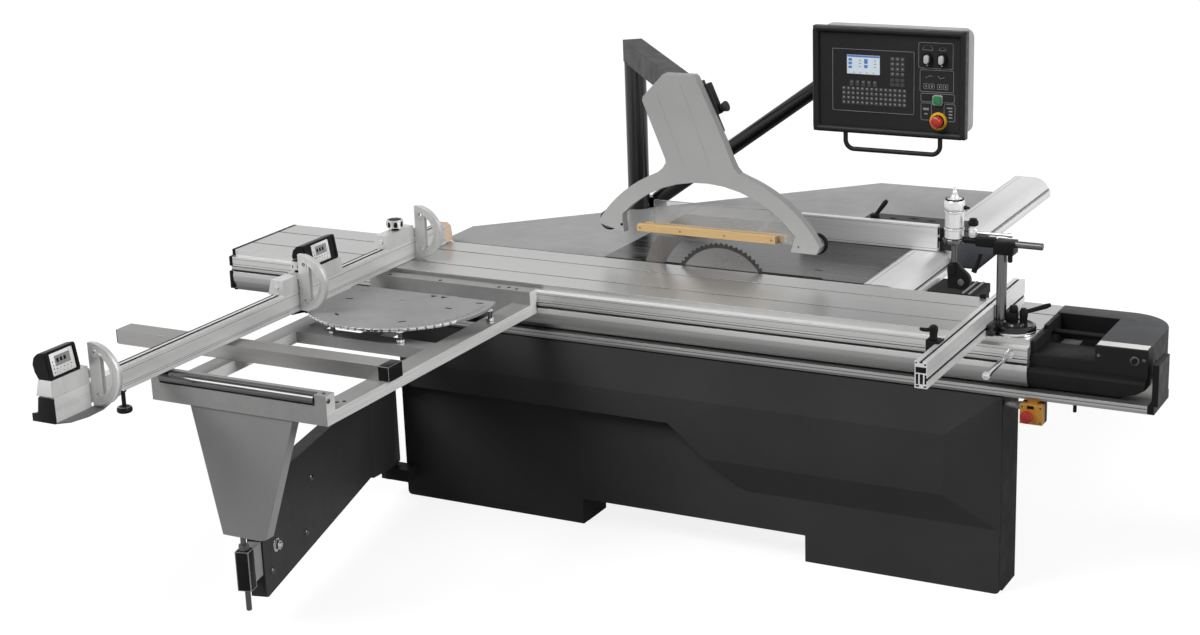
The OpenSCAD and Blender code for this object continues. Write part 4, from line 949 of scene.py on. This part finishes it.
outline = [(986, 196), (990, 208), (1020, 208)] + arc((1033, 156), 31, 50, -160, 24)
(add("hold_hook", PLASTIC).prism("y", outline, (cy - 14, cy + 14), 3)
 .lathe((rod, cy, 179), [(21, 0), (22, 10), (20.6, 28), (14, 34), (9.4, 38)], 40))
add("hold_hook_bolt", STEEL).screw((1035, cy - 14, 153), 11, head=4)
add("hold_rod", STEEL).lathe((rod, cy, 214), [(9.3, 0), (9.3, 60)], 32)
Piece.made[-1].done()  # and, before it, all that are still open


# Stage

def put(name, data):
    """Puts new data in the scene as an object."""
    obj = bpy.data.objects.new(name, data)
    bpy.context.scene.collection.objects.link(obj)
    return obj


def camera():
    """The photograph's viewpoint, fitted to the machine's right angles."""
    data = bpy.data.cameras.new("photo_camera")
    data.sensor_fit = "HORIZONTAL"
    data.sensor_width = 36.0
    data.lens = 63.69
    data.clip_end = 100
    cam = put("photo_camera", data)
    right, up, back = (0.8825, 0.4691, -0.0351), (-0.1062, 0.2713, 0.9568), (0.4583, -0.8405, 0.2892)
    turn = Matrix((right, up, back)).transposed().to_4x4()
    cam.matrix_world = Matrix.Translation((3.1942, -6.9448, 2.998)) @ turn
    bpy.context.scene.camera = cam


def sun(name, towards, spread, strength):
    """A wide soft light from one side; spread is the angle that it fills, in degrees."""
    data = bpy.data.lights.new(name, "SUN")
    data.angle = math.radians(spread)
    data.energy = strength
    put(name, data).rotation_euler = Vector(towards).to_track_quat("Z", "Y").to_euler()


def world(fill):
    """White where it is seen, a ceiling dimmer than the horizon in mirrors, and a soft fill for the rest."""
    studio = bpy.data.worlds.new("studio")
    bpy.context.scene.world = studio
    studio.use_nodes = True
    g = Graph(studio.node_tree)
    height = g.node("SeparateXYZ", {0: g.node("TexCoord").outputs["Generated"]}).outputs["Z"]
    path = g.node("LightPath")
    level = fill
    for ray, seen in (("Is Glossy Ray", g.remap(height, 1.0, 0.5, 0.28, 0.62)), ("Is Transmission Ray", 1.0),
                      ("Is Camera Ray", 1.0)):
        level = g.node("Mix", {"Factor": path.outputs[ray], 2: level, 3: seen}).outputs[0]
    back = studio.node_tree.nodes["Background"]
    g.feed(back.inputs["Color"], (1, 1, 1))
    g.feed(back.inputs["Strength"], level)


def floor():
    """White where it is seen; in metal the floor is greyer near the machine, as in its own shade."""
    bm = bmesh.new()
    bmesh.ops.create_grid(bm, x_segments=1, y_segments=1, size=30)
    mesh = bpy.data.meshes.new("studio_floor")
    bm.to_mesh(mesh)
    bm.free()
    obj = put("studio_floor", mesh)
    obj.location.z = -0.0005
    white, near = 0.86, 0.38
    s = Shader("floor_white", grey(0.22), 0.9, Specular_IOR_Level=0.0, Emission_Color=(1, 1, 1))
    path = s.node("LightPath").outputs
    ground = s.remap(s.vector("LENGTH", s.coords), near, white, 2.4, 4.4)
    seen = s.math("MAXIMUM", path["Is Camera Ray"], path["Is Transmission Ray"])
    mirrored = s.math("MULTIPLY", path["Is Glossy Ray"], ground)
    s.use(Base_Color=s.mix(s.remap(s.noise(0.6, 2), 0.0, 1.0), grey(0.21), grey(0.23)),
          Emission_Strength=s.math("MAXIMUM", s.math("MULTIPLY", seen, white), mirrored))
    mesh.materials.append(s.mat)


camera()
world(0.17)
floor()
sun("key", (-0.44, -0.53, 0.725), 34, 2.0)
sun("side", (0.87, 0.06, 0.49), 30, 1.9)

bpy.context.scene.view_settings.view_transform = "Standard"
